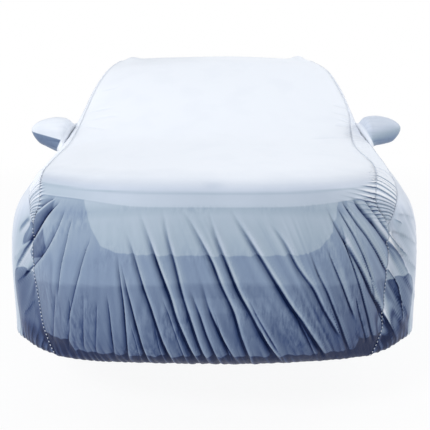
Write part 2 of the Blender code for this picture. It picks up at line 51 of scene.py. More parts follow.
CLOTH = 0.0015           # thickness of the sheet
FAR = 10.0               # a distance longer than the cover
ORIGIN = (0.0, 2.75, 1.578)          # the row's origin in ground coordinates
SIDE_NAMES = {-1: "left", 1: "right"}

# Lengthwise sections of the centre panel, front hem to rear hem: the middle of the section
# (y, z), its ends on the long seams (edge_y, edge_z) and the seams' distances from the middle.
CENTRE_SECTIONS = (
    # name            y      z      edge_y edge_z left   right
    ("front_tuck",    0.210, 0.274, 0.370, 0.262, 0.600, 0.585),
    ("front_hem",     0.130, 0.281, 0.300, 0.246, 0.668, 0.650),
    ("bumper_low",    0.045, 0.345, 0.335, 0.330, 0.728, 0.712),
    ("bumper",        0.000, 0.500, 0.360, 0.500, 0.762, 0.728),
    ("bumper_top",    0.005, 0.620, 0.380, 0.625, 0.782, 0.742),
    ("grille_low",    0.030, 0.740, 0.400, 0.740, 0.781, 0.750),
    ("corner_tip",    0.050, 0.820, 0.425, 0.800, 0.788, 0.748),
    ("lip_low",       0.078, 0.930, 0.410, 0.905, 0.754, 0.690),
    ("lip_top",       0.100, 0.985, 0.470, 0.965, 0.762, 0.702),
    ("bonnet_roll",   0.200, 1.022, 0.600, 1.000, 0.778, 0.728),
    ("bonnet_front",  0.400, 1.045, 0.780, 1.020, 0.790, 0.752),
    ("bonnet_mid",    0.680, 1.068, 0.980, 1.038, 0.798, 0.757),
    ("bonnet_rear",   1.000, 1.092, 1.180, 1.054, 0.802, 0.755),
    ("screen_base",   1.200, 1.118, 1.320, 1.078, 0.793, 0.756),
    ("screen_low",    1.380, 1.195, 1.480, 1.145, 0.775, 0.768),
    ("screen_mid",    1.640, 1.340, 1.700, 1.248, 0.759, 0.787),
    ("screen_high",   1.880, 1.458, 1.880, 1.382, 0.720, 0.750),
    ("screen_top",    2.060, 1.530, 2.060, 1.478, 0.680, 0.712),
    ("roof_front",    2.260, 1.564, 2.240, 1.532, 0.642, 0.658),
    ("roof_mid",      2.750, 1.580, 2.720, 1.552, 0.612, 0.618),
    ("roof_rear",     3.550, 1.552, 3.500, 1.520, 0.596, 0.600),
    ("spoiler",       3.980, 1.490, 3.860, 1.450, 0.590, 0.592),
    ("rear_screen",   4.190, 1.240, 4.030, 1.220, 0.662, 0.660),
    ("rear_corner",   4.320, 0.980, 4.120, 0.960, 0.722, 0.720),
    ("tailgate_low",  4.405, 0.740, 4.150, 0.730, 0.752, 0.750),
    ("rear_bumper",   4.455, 0.560, 4.160, 0.550, 0.762, 0.758),
    ("rear_low",      4.425, 0.350, 4.140, 0.340, 0.735, 0.730),
    ("rear_hem",      4.340, 0.285, 4.090, 0.250, 0.668, 0.662),
    ("rear_tuck",     4.260, 0.276, 4.020, 0.262, 0.600, 0.596),
)
SWEEP_POWER = 3.1        # how late a section sweeps back towards the seams
DROP_POWER = 3.0         # how late it drops towards them

# The gathered gussets: how far the side panel's seam stands out from the centre panel's seam,
# how far it lies back and how far it lies below it.
GUSSET_SECTIONS = (
    # section        left   right  back   drop
    ("lip_low",      0.060, 0.105, 0.075, 0.030),
    ("lip_top",      0.066, 0.110, 0.070, 0.056),
    ("bonnet_roll",  0.060, 0.100, 0.055, 0.056),
    ("bonnet_front", 0.050, 0.086, 0.022, 0.046),
    ("bonnet_mid",   0.036, 0.092, 0.020, 0.030),
    ("bonnet_rear",  0.036, 0.100, 0.020, 0.018),
    ("screen_base",  0.040, 0.100, 0.025, 0.014),
    ("screen_low",   0.038, 0.058, 0.020, 0.024),
    ("screen_mid",   0.018, 0.016, 0.002, 0.012),
    ("screen_high",  0.013, 0.013, 0.000, 0.009),
    ("screen_top",   0.010, 0.010, 0.000, 0.008),
)
GUSSET_ENDS = ("corner_tip", "roof_front")
GUSSET_PUFF = 0.006      # how far the ruched strip stands proud between its seams
GUSSET_WIDE = 0.060      # where it is as wide as this or wider
GUSSET_AWAY = (0.5, -0.1, 0.85)      # direction it stands proud in on the right
GUSSET_END = 0.020       # it stops this near to its seams' meeting points

# Length of one row of the mesh in each stretch between two sections.
ROW_SPANS = (
    # from            to              row
    ("front_tuck",    "front_hem",    0.024),
    ("front_hem",     "corner_tip",   0.0115),
    ("corner_tip",    "lip_top",      0.0070),
    ("lip_top",       "bonnet_front", 0.0090),
    ("bonnet_front",  "screen_base",  0.0160),
    ("screen_base",   "roof_front",   0.0170),
    ("roof_front",    "spoiler",      0.0480),
    ("spoiler",       "rear_corner",  0.0300),
    ("rear_corner",   "rear_hem",     0.0300),
    ("rear_hem",      "rear_tuck",    0.0240),
)
CENTRE_COLUMNS = 80
FRONT_CUTS = 3           # extra cuts of each column on the folded front
LEAN = 0.20              # how far the front's columns drift right, as its folds do
SIDE_ROWS_UNDER = 3      # rows of a side panel turned in under its hem
GUSSET_ROW = 0.0032      # length of one row of a gusset's mesh
GUSSET_COLUMNS = 12

# Plan of the body at its widest, and the side hem's distance from the middle.
PLAN = (
    # y     body   hem
    (0.30, 0.690, 0.668),
    (0.40, 0.795, 0.776),
    (0.50, 0.890, 0.852),
    (0.60, 0.938, 0.922),
    (0.75, 0.958, 0.954),
    (1.10, 0.960, 0.958),
    (2.20, 0.956, 0.952),
    (3.40, 0.952, 0.948),
    (3.70, 0.939, 0.930),
    (3.90, 0.904, 0.880),
    (4.02, 0.852, 0.790),
    (4.09, 0.800, 0.668),
)
SIDE_HEM_Z = 0.246
SIDE_TUCK = (0.060, 0.016)           # how far the side hem turns in, and up
# How far the side leans in above its widest height.
TUMBLE = (
    # z     in
    (0.25, 0.004),
    (0.45, 0.000),
    (0.60, 0.000),
    (0.75, 0.004),
    (0.85, 0.013),
    (0.95, 0.042),
    (1.00, 0.064),
    (1.10, 0.103),
    (1.20, 0.153),
    (1.35, 0.228),
    (1.50, 0.313),
    (1.56, 0.343),
)
SEAM_PULL = 6            # how late a side starts to turn in towards its long seam
HEM_PULL = 3             # how soon it leaves its hem's line above the hem
END_PULL = 24            # how near to its ends it starts to follow them
TUCK_PULL = 12           # how near to its ends the cloth turned in does

# Mirror pockets: the hole in the side panel, and rings of the bag from it to its tip.
POCKET_HOLE_Y = (1.36, 1.61)
POCKET_HOLE_UP = {-1: 0.885, 1: 0.920}   # how far up the side panel the hole starts
# How its lower corners are rounded: from where to where across it, from its middle at 0 to its
# ends at 1, how far beside and below it the cloth follows, and how far up they move.
POCKET_HOLE_CORNER = (0.20, 1.0)
POCKET_HOLE_BESIDE = (1.0, 1.7)
POCKET_HOLE_BELOW = (1.0, 2.6)
POCKET_HOLE_RISE = 0.62
POCKET_RINGS = (
    # x      y      z      half_y half_z tilt
    (0.868, 1.488, 1.104, 0.110, 0.094, 0.45),
    (0.906, 1.486, 1.120, 0.098, 0.094, 0.26),
    (0.945, 1.486, 1.127, 0.088, 0.082, 0.12),
    (0.985, 1.488, 1.131, 0.080, 0.064, 0.04),
    (1.014, 1.490, 1.138, 0.062, 0.038, 0.00),
    (1.030, 1.492, 1.142, 0.034, 0.017, 0.00),
)
POCKET_SHIFTS = {-1: (0.0, 0.0), 1: (0.012, 0.008)}      # each side's pocket further out, and up
POCKET_FLAT = {-1: 0.18, 1: 0.40}    # how much its root is flattened underneath
POCKET_FLAT_RINGS = 3.5              # the rings up to which that lasts
POCKET_SQUARENESS = 2.5
POCKET_ROWS = 5          # rows of the mesh between two rings
POCKET_MIDDLE = (0.900, 1.488, 1.120)
POCKET_TIP = 0.003       # how far its tip stands out of its last ring
POCKET_PUCKER = (0.004, 0.40, 1.20)  # height of the puckers at its root, where they start and last
POCKET_PUCKERS = 3.2     # puckers for each radian round the root
POCKET_LINE = 0.55       # where the line round its root shows, of the way to its first ring
POCKET_CREASE = (1.098, 0.25)        # height of its crease at the root, and its rise outwards
POCKET_PAINTED_LIGHT_AND_SHADE = {-1: (0.05, 0.12, True), 1: (0.17, 0.60, False)}     # tones above and below, painted light and painted shade, and whether the crease is sharp
POCKET_SHADE_EDGE = (-0.05, 0.07)    # between which levels a soft crease darkens into painted shade
POCKET_LINE_EDGE = (0.15, 0.10)      # how far before and after that line its tones set in
POCKET_CONTRAST = 0.35   # how strongly its puckers' painted light and shade show
POCKET_TURN_Y = 1.490    # y that the puckers are counted round


# ---------------------------------------------------------------- tables: the folds

# Folds of the front as seen from ahead: where each starts and runs out, how far its middle bows
# to its right, how deep it is and how wide its right flank is.
FRONT_FOLDS = (
    # x      z      end_x  end_z  bow    depth  width
    (-0.659, 0.938, -0.856, 0.765, -0.013, 0.0180, 0.030),
    (-0.635, 0.931, -0.878, 0.600, -0.009, 0.0160, 0.028),
    (-0.605, 0.903, -0.828, 0.575, 0.020, 0.0130, 0.022),
    (-0.579, 0.870, -0.642, 0.560, -0.007, 0.0115, 0.016),
    (-0.493, 0.815, -0.600, 0.450, 0.000, 0.0090, 0.016),
    (-0.655, 0.560, -0.690, 0.320, 0.000, 0.0070, 0.018),
    (-0.590, 0.560, -0.605, 0.320, 0.000, 0.0050, 0.018),
    (-0.525, 0.560, -0.535, 0.340, 0.000, 0.0040, 0.018),
    (-0.468, 0.570, -0.480, 0.330, 0.000, 0.0050, 0.018),
    (-0.425, 0.610, -0.405, 0.330, 0.000, 0.0085, 0.020),
    (-0.388, 0.770, -0.347, 0.320, 0.010, 0.0135, 0.020),
    (-0.366, 0.740, -0.274, 0.310, 0.000, 0.0150, 0.022),
    (-0.345, 0.850, -0.178, 0.310, 0.002, 0.0165, 0.024),
    (-0.294, 0.915, -0.072, 0.310, 0.000, 0.0190, 0.026),
    (-0.204, 0.925, -0.036, 0.320, -0.010, 0.0150, 0.024),
    (-0.106, 0.640, 0.020, 0.300, 0.000, 0.0120, 0.022),
    (-0.131, 0.930, 0.138, 0.310, 0.028, 0.0170, 0.024),
    (-0.056, 0.660, 0.074, 0.330, -0.008, 0.0120, 0.022),
    (-0.030, 0.930, 0.255, 0.310, -0.022, 0.0180, 0.026),
    (0.120, 0.600, 0.245, 0.370, 0.000, 0.0090, 0.020),
    (0.050, 0.935, 0.430, 0.330, 0.004, 0.0190, 0.028),
    (0.205, 0.890, 0.490, 0.420, 0.004, 0.0130, 0.022),
    (0.362, 0.775, 0.545, 0.335, 0.000, 0.0125, 0.018),
    (0.430, 0.785, 0.560, 0.480, 0.004, 0.0100, 0.014),
    (0.490, 0.870, 0.668, 0.345, 0.000, 0.0130, 0.016),
    (0.429, 0.930, 0.785, 0.310, 0.004, 0.0200, 0.026),
    (0.478, 0.925, 0.660, 0.580, 0.012, 0.0130, 0.015),
    (0.505, 0.942, 0.738, 0.610, 0.004, 0.0180, 0.019),
    (0.554, 0.942, 0.855, 0.570, 0.016, 0.0240, 0.034),
    (0.615, 0.940, 0.845, 0.660, -0.006, 0.0160, 0.017),
    (0.668, 0.930, 0.755, 0.780, 0.004, 0.0130, 0.013),
    (0.740, 0.842, 0.815, 0.795, 0.000, 0.0150, 0.018),
    (0.729, 0.630, 0.840, 0.370, 0.018, 0.0140, 0.018),
    (0.560, 0.560, 0.640, 0.330, 0.000, 0.0070, 0.014),
    (0.646, 0.600, 0.730, 0.390, 0.000, 0.0100, 0.014),
    (0.300, 0.560, 0.400, 0.330, 0.000, 0.0080, 0.014),
    (-0.010, 0.560, 0.060, 0.320, 0.000, 0.0070, 0.014),
    (0.160, 0.500, 0.230, 0.320, 0.000, 0.0070, 0.014),
    (-0.210, 0.620, -0.120, 0.320, 0.000, 0.0070, 0.014),
    (-0.240, 0.480, -0.200, 0.310, 0.000, 0.0060, 0.012),
    (-0.330, 0.500, -0.300, 0.310, 0.000, 0.0050, 0.012),
    (0.360, 0.480, 0.440, 0.320, 0.000, 0.0070, 0.014),
)
FOLD_TIP = 0.0025        # how round the bottom of a fold is
VALLEY = 0.90            # depth of its valley, of the fold's depth
LEFT_FLANK = 0.40        # width of a fold's left flank, of the fold's width
RIGHT_FLANK = 0.28       # width of its right one
CREST = 0.50             # height of the crest right of a fold, of the fold's depth
CREST_AT = 0.42          # where that crest stands, of the fold's width
LEFT_CREST = 0.20        # height of the flatter crest left of it
FOLD_WANDER = (0.0040, 0.11)         # how far a fold strays from its line, and over what length
FOLD_UNEVEN = (0.90, 0.20, 0.09)     # its strength, how much that varies, and over what length
FOLD_NARROW = (0.55, 0.45)           # how narrow it starts, and where it has its full width
FOLD_START = (-0.02, 0.10, 0.35)     # where it sets in, and how much later with a late sharp line
FOLD_END = (1.12, 0.22)              # where it has run out, and how long before it starts to
FRONT_FOLDS_END_Y = (0.55, 0.80)     # the front's folds fade out between these
FRONT_FOLDS_END_Z = (0.25, 0.30, 0.925, 0.950)       # and below and above these
DEEPEST = 0.0155         # a fold of this depth has full strength
# Painted light and shade beside a fold, right of its valley by a distance in widths of the fold.
FOLD_PAINTED_LIGHT_AND_SHADE = (
    # amount right  reach
    (0.28,   0.85,  0.60),
    (0.14,  -1.20,  0.50),
    (-0.36, -0.22,  0.48),
)
FOLD_SETS = 3            # the folds' sharp lines are drawn in this many sets
# The share of a fold's length over which its sharp line sets in: long for those that start near
# the middle, short for those that start further out.
LINE_START_X = (0.40, 0.52)
LINE_START = (0.42, 0.12)
LINE_REACH = (0.60, 0.95)            # where a sharp line fades out, of the fold's width

# Where the fan of folds starts along the lip and where it arrives low down.
FAN_TOP_Z, FAN_LOW_Z = 0.93, 0.32
FAN = (
    # top    low
    (-0.750, -0.980),
    (-0.650, -0.870),
    (-0.590, -0.680),
    (-0.468, -0.480),
    (-0.388, -0.347),
    (-0.294, -0.072),
    (-0.204, -0.036),
    (-0.131, 0.138),
    (-0.030, 0.255),
    (0.050, 0.430),
    (0.205, 0.490),
    (0.345, 0.540),
    (0.505, 0.870),
    (0.700, 1.120),
)
FAN_TRIES = 6            # tries by which a streak's start is found
STREAKS = (
    # spacing height  tone  seed
    (0.022, 0.0024, 1.0,  71),
    (0.011, 0.0012, 0.8,  73),
)
STREAKS_LAST = (0.30, 7.0)           # length of a streak, and how unlike its neighbours' it is
STREAK_SHIFT = 3.0                   # where along the lip the streaks' chance values start
STREAK_SHADE = 0.3                   # how far beside a streak its height is read for its painted shade, of its spacing
STREAK_SHARE = (0.40, 0.60, 0.25, 0.70)      # left of the middle, more of them on the right
STREAK_START = 0.18                  # they set in down to here, of the front's height

# Slow unevenness of the whole cover: height of each wave, its turns along x, y and z, its shift.
SLACK_WAVES = (
    # height  x    y     z    shift
    (0.0022, (3.1, 5.3,  0.0), 1.0),
    (0.0018, (9.7, -2.3, 4.0), 0.0),
)
WANDER_VALUES = 512      # chance values along a line before they repeat
PLEAT_UNEVEN = (0.35, 1.7)           # how far a pleat strays from an even count, over how many
PLEAT_HEIGHT = (0.65, 0.35)          # height of the pleats, and how much that varies
PLEAT_PICK = 1.37                    # step from one pleat's chance value to the next one's
PLEAT_POWER = 0.8                    # how round a pleat's crest is
# Seeds of the chance values; a table of folds counts up from its own.
SEED = {
    "fold_line": 100, "fold_strength": 200, "streak_length": 75, "ruches": 31, "ruche_crests": 32,
    "ruche_contrast": 33, "ruche_reach": 37, "front_hem": 41, "rear_hem": 43, "side_hem": 47,
    "gathers": 53, "gather_crests": 54, "pocket_puckers": 61, "pocket_crests": 62,
    "scallops": 81, "scallop_crests": 82,
}

# Folds of the sides as seen from the side.
SIDE_FOLDS = {
    -1: (
        # y     z     end_y end_z bow    depth  width
        (0.95, 0.90, 0.80, 0.28, 0.000, 0.008, 0.045),
        (1.45, 0.92, 1.22, 0.27, 0.010, 0.010, 0.050),
        (1.85, 0.98, 1.75, 0.27, 0.000, 0.007, 0.055),
        (2.35, 1.05, 2.20, 0.27, 0.010, 0.009, 0.060),
        (2.95, 1.00, 2.90, 0.27, 0.000, 0.007, 0.055),
        (3.45, 0.95, 3.60, 0.27, 0.000, 0.010, 0.050),
        (3.75, 0.85, 3.95, 0.30, 0.000, 0.007, 0.045),
        (0.40, 0.72, 0.52, 0.62, 0.000, 0.006, 0.012),
        (0.38, 0.62, 0.50, 0.52, 0.000, 0.006, 0.012),
        (0.37, 0.48, 0.46, 0.38, 0.000, 0.005, 0.012),
        (1.30, 0.60, 1.18, 0.27, 0.000, 0.005, 0.022),
        (2.05, 0.62, 1.98, 0.27, 0.000, 0.004, 0.020),
        (3.20, 0.60, 3.26, 0.27, 0.000, 0.005, 0.024),
    ),
    1: (
        # y     z     end_y end_z bow    depth  width
        (0.92, 0.92, 0.72, 0.28, 0.000, 0.009, 0.045),
        (1.30, 0.95, 1.05, 0.27, 0.000, 0.007, 0.050),
        (1.62, 0.92, 1.50, 0.27, 0.000, 0.010, 0.055),
        (2.15, 1.02, 1.95, 0.27, 0.000, 0.008, 0.060),
        (2.70, 1.02, 2.65, 0.27, 0.000, 0.008, 0.055),
        (3.25, 0.98, 3.35, 0.27, 0.000, 0.008, 0.055),
        (3.65, 0.90, 3.85, 0.28, 0.000, 0.009, 0.045),
        (0.41, 0.86, 0.58, 0.80, 0.000, 0.008, 0.012),
        (0.41, 0.77, 0.56, 0.68, 0.000, 0.008, 0.012),
        (0.40, 0.68, 0.57, 0.56, 0.000, 0.008, 0.013),
        (0.39, 0.52, 0.50, 0.36, 0.000, 0.006, 0.013),
        (1.20, 0.60, 1.08, 0.27, 0.000, 0.005, 0.022),
        (2.42, 0.62, 2.36, 0.27, 0.000, 0.004, 0.020),
        (3.02, 0.60, 3.05, 0.27, 0.000, 0.005, 0.024),
    ),
}

# Soft folds of the windscreen, seen from above: they start at the seams and run inwards.
SCREEN_FOLDS = (
    # x      y      end_x  end_y  bow    depth  width
    (-0.760, 1.560, -0.560, 1.500, 0.000, 0.0070, 0.020),
    (-0.750, 1.640, -0.590, 1.600, 0.000, 0.0060, 0.018),
    (-0.740, 1.480, -0.610, 1.380, 0.000, 0.0060, 0.020),
    (-0.720, 1.820, -0.580, 1.800, 0.000, 0.0050, 0.016),
    (0.780, 1.400, 0.520, 1.240, 0.000, 0.0050, 0.040),
    (0.800, 1.440, 0.715, 1.405, 0.000, 0.0100, 0.020),
    (0.800, 1.500, 0.690, 1.470, 0.000, 0.0120, 0.024),
    (0.800, 1.560, 0.705, 1.540, 0.000, 0.0110, 0.020),
    (0.795, 1.630, 0.690, 1.600, 0.000, 0.0100, 0.022),
    (0.785, 1.700, 0.700, 1.680, 0.000, 0.0080, 0.020),
)


# ---------------------------------------------------------------- tables: rails, seams and hem

# Roof rails felt through the cloth: distance from the middle, height on each side.
RAIL_X = 0.560
RAIL_WIDTH = 0.040
RAIL_HEIGHTS = {-1: 0.017, 1: 0.025}
RAIL_SPAN_Y = (2.15, 2.35, 3.45, 3.75)

# A shallow dimple in the middle of the bonnet's front edge.
DIMPLE = (-0.010, 0.150, 1.010)
DIMPLE_RADIUS = 0.050
DIMPLE_DEPTH = 0.005
DIMPLE_PAINTED_SHADE = (0.06, 0.8)            # how dark its painted shade is, and within what, of its radius

# Ruches along the long seams: how high they stand, how far they run into the centre panel, the
# gusset's tone there and how strongly they show.
# The tone column is painted shade low at the front; the contrast is that of the ruches' painted
# light and shade.
RUCHES = (
    # section         height  reach  tone  contrast
    ("corner_tip",    0.0040, 0.040, 0.34, 1.6),
    ("lip_low",       0.0070, 0.085, 0.28, 2.4),
    ("lip_top",       0.0070, 0.090, 0.17, 3.0),
    ("bonnet_roll",   0.0056, 0.060, 0.09, 3.0),
    ("bonnet_front",  0.0040, 0.026, 0.05, 2.0),
    ("bonnet_mid",    0.0036, 0.016, 0.02, 1.4),
    ("screen_base",   0.0036, 0.024, 0.00, 1.3),
    ("screen_low",    0.0036, 0.044, 0.00, 1.3),
    ("screen_mid",    0.0028, 0.040, 0.01, 1.0),
    ("screen_top",    0.0018, 0.016, 0.02, 0.7),
    ("roof_front",    0.0010, 0.012, 0.02, 0.4),
)
RUCHE_PITCH = {-1: 0.0145, 1: 0.0190}
RUCHE_SLANT = 0.16       # how far a ruche drops along the seam for each metre it runs outwards
INNER_SLANT = 0.24       # the same inside the centre panel
LEFT_REACH = 0.25        # the left ruches' reach into the centre panel, of the right ones'
RUCHE_SPAN = (0.04, 0.03, 0.20)      # where they set in round a corner's tip and how late they end
RUCHE_UNEVEN = (0.7, 0.4, 0.035)     # their reach, how much that varies, and over what length
RUCHE_END = 1.8          # how sharply they end
RUCHE_RISE = {"centre": (1.4, 0.50), "gusset": (2.0, 0.35)}  # their height, and its middle
RUCHE_CALM = 0.8         # how much of the folds' painted soft light and shade they take away
RUCHE_HELD = 0.006       # how near to its seams a gusset's ruches are held down
GUSSET_CONTRAST = (0.6, 0.4)         # how strongly a gusset's ruches show as painted light and shade, and how that varies
# Gathers of the side panels along their long seams: height, pitch, reach and strength of their
# painted light and shade.
GATHERS = (0.0016, 0.017, 0.014, 0.3)
SEAM_PUFF = (0.0013, 0.0050)         # how far the cloth rises beside a seam, and within what
SEAM_EASE = 0.020        # folds die out this near to a seam
CORNER_TURN = 0.030      # how near to a corner seam both panels share a direction
CORNER_TURN_END = 0.030  # and how far below its top that ends
CORNER_STATIONS = 60     # places along it where that direction is worked out
CORNER_ACROSS = 0.999    # where across the centre panel it is taken
CORNER_BEHIND = 0.004    # and how far behind the corner's tip on the side panel
JUST_INSIDE = 0.01       # share of a panel that its outward directions keep from its edges
SIDE_INSIDE = 0.003      # and how far a side panel's keep from its ends
GUSSET_INSIDE = (0.05, 0.95)         # and between where across a gusset they stay
# Steps over which a panel's outward directions are taken, in the two ways of its pattern.
STEPS = {"centre": (0.002, 0.002), "side": (0.003, 0.005), "gusset": (0.03, 0.004)}
TIP_EASE = (0.010, 0.060)            # folds that cross a corner seam die out this near to its top
CROSSING = (0.070, 0.9)  # how far past a corner seam the front's folds' painted shade looks stronger, and by what
TONE_STRENGTH = 0.30     # how much lighter a fold's lit side and darker its shaded side is painted
TONE_FLOOR = 0.22        # and how much of that shows on the palest cloth

# The hem: puckers of its elastic casing.
HEM_PITCH = 0.032        # length of a pucker along the hem
HEM_HEIGHT = 0.0050
HEM_REACH = 0.055        # how far up the cloth the puckers reach
HEM_LEAN = 0.30          # and how far they lean on the way
HEM_MIDDLE = 0.6         # height of a pucker that neither rises nor sinks, of its crest
HEM_PAINTED_LIGHT_AND_SHADE = 0.5           # how strongly they show as painted soft light and shade, and then as sharp lines
HEM_CONTRAST = 0.9
CASING = 0.028           # width of the stitched casing
CASING_LINE = (0.003, 0.0015, 0.3)   # width, depth and tone of the line it ends in; the tone is painted shade in its groove
# Lengths of the cloth in its flat coordinates: half the centre panel's width, the side panels'
# height, the gussets' width, and a pocket's turn and row.
FLAT = {"centre": 0.75, "side": 0.75, "gusset": 0.1, "pocket": (0.1, 0.03)}
# How much of the small crinkles each panel shows: a start, and more where the front's folds are.
SLACK = {"centre": (0.15, 1.0), "side": (0.30, 0.1), "gusset": 0.6, "pocket": 0.5}
SLACK_FIELD = (0.6, 0.05)            # how much less the light field shows, and from how far inside
# How strongly the soft folds of the windscreen and the sides show as painted lines, and as painted
# soft light and shade.
SOFT_LINES = {"screen": (0.9, 1.2), "side": (0.6, 0.8)}


# ---------------------------------------------------------------- tables: the tones

# Tone of the front from the bonnet down, 0 near white to 1 darkest. A level is the height in the
# middle; the levels drop towards the seams.
# The lip's tones are painted shade where the bonnet rolls down, in the lip's creases and under its
# edge.
LIP_TONES = (
    # station from lip_top   tone
    (-0.062, 0.30),
    (-0.044, 0.27),
    (-0.012, 0.27),
    (-0.004, 0.36),
    (0.002, 0.22),
    (0.030, 0.16),
    (0.075, 0.10),
    (0.130, 0.04),
    (0.300, 0.00),
)
# The front's tones are painted shade where it turns away from the light above, and darker downwards
# where the dark car beneath shows through the thin cloth.
FRONT_TONES = (
    # level tone
    (0.26, 0.84),
    (0.34, 0.80),
    (0.40, 0.78),
    (0.50, 0.72),
    (0.575, 0.69),
    (0.640, 0.67),
    (0.652, 0.58),
    (0.74, 0.57),
    (0.84, 0.50),
    (0.90, 0.48),
    (0.932, 0.53),
    (0.980, 0.44),
)
# How far the lip's lines rise towards the seams: between which distances from the middle, the
# lower line's rise on each side and the upper line's share of it.
LIP_RISE_X = (0.25, 0.65)
LIP_RISE = {-1: 0.030, 1: 0.018}
UPPER_RISE = 0.35
LIP_CORNER = (0.30, 0.40, 0.70)      # how much darker the lip is to the left, from and to where
LIP_EDGE = 0.012         # half the width of the soft edge under the lip
LIP_LOWER = (0.010, 0.045)           # how far below the lip's top its lower line starts to count
LEVEL_FALL = 0.13        # how fast the front's levels drop towards the seams
# How much darker the front's lower right is, between which x, and from which z down to which.
LOWER_RIGHT = (0.09, (0.15, 0.65), (0.45, 0.80))
# The lighter field below the lip, partly a painted reflection and partly the grille seen through
# the thin cloth: its corners as seen from ahead, in turn round its edge.
LIGHT_FIELD = (
    (-0.530, 0.960), (-0.494, 0.842), (-0.451, 0.774), (-0.386, 0.752),
    (0.361, 0.749), (0.414, 0.769), (0.462, 0.820), (0.500, 0.960),
)
# Cloth over the hollows beside the left corner's ridges, painted darker as shade in the hollows.
HOLLOWS = (
    ((-0.656, 0.926), (-0.800, 0.812), (-0.842, 0.750), (-0.852, 0.700), (-0.786, 0.738),
     (-0.692, 0.856)),
    ((-0.715, 0.800), (-0.782, 0.722), (-0.812, 0.680), (-0.790, 0.655), (-0.735, 0.678),
     (-0.708, 0.725)),
)
# The paler patch low in the middle: its left, right, bottom and top, its edges and its tone.
PALE_PATCH = (-0.211, 0.219, 0.530, 0.597)
PALE_EDGE, PALE_TOP_EDGE = 0.012, 0.010
PALE_TONE = 0.04
REAR_TONE = (0.10, 0.36, (0.25, 1.0))        # tone of the rear, and more of it low down
SIDE_TONE = 0.05
SIDE_SHADES = ((0.09, (0.80, 1.05)), (0.10, (0.35, 0.85)))   # more below these heights
CORNER_TONE = {-1: 0.20, 1: 0.15}    # how much darker the sides are painted towards the front corners, as shade
CORNER_TONE_ENDS = ((0.44, 0.62), (0.75, 1.0))       # over which y and z that fades out
CORNER_FOOT = {-1: 0.13, 1: 0.22}    # and how much more at the hem there
CORNER_FOOT_ENDS = ((0.50, 0.60), (0.325, 0.385))
PATCH_TONE = (0.4, 0.01)             # how much stronger the folds' painted shade looks on the patch, and its edge
# The dark patch is painted shade where a side panel's front corner turns to face the front.
SIDE_PATCH = {-1: (0.54, 0.60), 1: (0.55, 0.565)}     # y where it ends, and its upper edge's z
PATCH_ROUND = 0.09       # radius of its corner
LIP_STEP = 0.22          # how much darker the front is below the lip's lower line, painted shade under the lip's edge
FIELD_SHIFT = 0.012      # how far a fold's light and dark shift the edge of a zone
# The band is painted shade where the cloth turns under the bumper, with the dark car beneath
# showing through.
# The dark band along the front hem: height of its edge in the middle, how much that falls
# towards the sides, how high its scallops are and how long, and how much it rises at the corners.
HEM_BAND = (0.350, 0.10, 0.014, 0.060, 0.042)
HEM_BAND_CORNER = (0.575, 0.605)     # where it rises
SCALLOP_SLANT = 0.3
NOWHERE = -1.0                       # a distance far outside a zone

# The values that a mesh holds at each point for its material.
POINT_VALUES = (
    "shade", "slack", "light_zone", "dark_zone", "lip_zone", "from_seam", "pleat_phase",
    "pleat_strength",
)

# Rows of stitches along the seams, between two sections.
STITCHES = (
    # line          from           to             pitch   length  width
    ("outer",       "corner_tip",  "roof_front",  0.0145, 0.0070, 0.0048),
    ("inner",       "corner_tip",  "roof_front",  0.0145, 0.0060, 0.0032),
    ("inner",       "roof_front",  "rear_corner", 0.0145, 0.0070, 0.0036),
    ("corner",      "front_hem",   "corner_tip",  0.0165, 0.0086, 0.0058),
    ("corner",      "rear_corner", "rear_hem",    0.0165, 0.0086, 0.0048),
)
STITCH_STAND = 0.0015    # how far a stitch stands out of the cloth
STITCH_HEIGHT = 0.5      # its height, of its width
STITCH_ENDS = (0.010, 0.005)         # a line's free lengths at its start and its end
STITCH_STEP = 0.010      # step along the seams that the stitches follow
STITCH_AIM = 0.002       # how far ahead and behind a stitch its direction is taken
POCKET_STITCHES = (0.0100, 0.0062, 0.0016)   # pitch, length and width round a pocket's root
# The stitches stand away from the middle of the cover, less so lengthwise and upwards.
COVER_MIDDLE = (0.0, 2.2, 0.75)
STAND_SHARES = (1.0, 0.35, 0.9)


# ---------------------------------------------------------------- tables: the finishes

# Colours of the cloth from its palest tone to its darkest.
CLOTH_TONES = (
    # place  colour in sRGB
    (0.00, (0.935, 0.950, 0.975)),
    (0.20, (0.770, 0.805, 0.862)),
    (0.38, (0.630, 0.690, 0.750)),
    (0.55, (0.500, 0.568, 0.668)),
    (0.72, (0.370, 0.435, 0.550)),
    (0.86, (0.200, 0.275, 0.435)),
    (1.00, (0.006, 0.100, 0.265)),
)
ZONE_EDGE = 0.0035       # half the width of a zone's soft edge
SEAM_LINE = (0.0030, 0.05)           # width of the painted shade in a seam's groove, and its tone
# The sharp lines are painted: shade in a fold's or pleat's valley, highlight on the crest beside
# it.
# Greys of a fold's sharp line, by the distance right of its valley in widths of the fold, and of
# a pleat, by the way from one valley to the next.
PLAIN_GREY = 0.40
FOLD_LINE = (
    # off   grey
    (-0.80, 0.40),
    (-0.30, 0.50),
    (-0.09, 0.95),
    (0.05,  1.00),
    (0.15,  0.52),
    (0.24,  0.08),
    (0.34,  0.00),
    (0.50,  0.16),
    (0.90,  0.40),
)
PLEAT_LINE = (
    # way   grey
    (0.00,  1.00),
    (0.09,  0.85),
    (0.20,  0.10),
    (0.34,  0.00),
    (0.60,  0.32),
    (0.84,  0.50),
    (1.00,  1.00),
)
LINE_STRENGTH = 0.68     # how strongly the sharp lines' painted shade and highlight show
LIGHT_STEP = -0.13       # tone of the light field beside its surroundings, partly a painted reflection
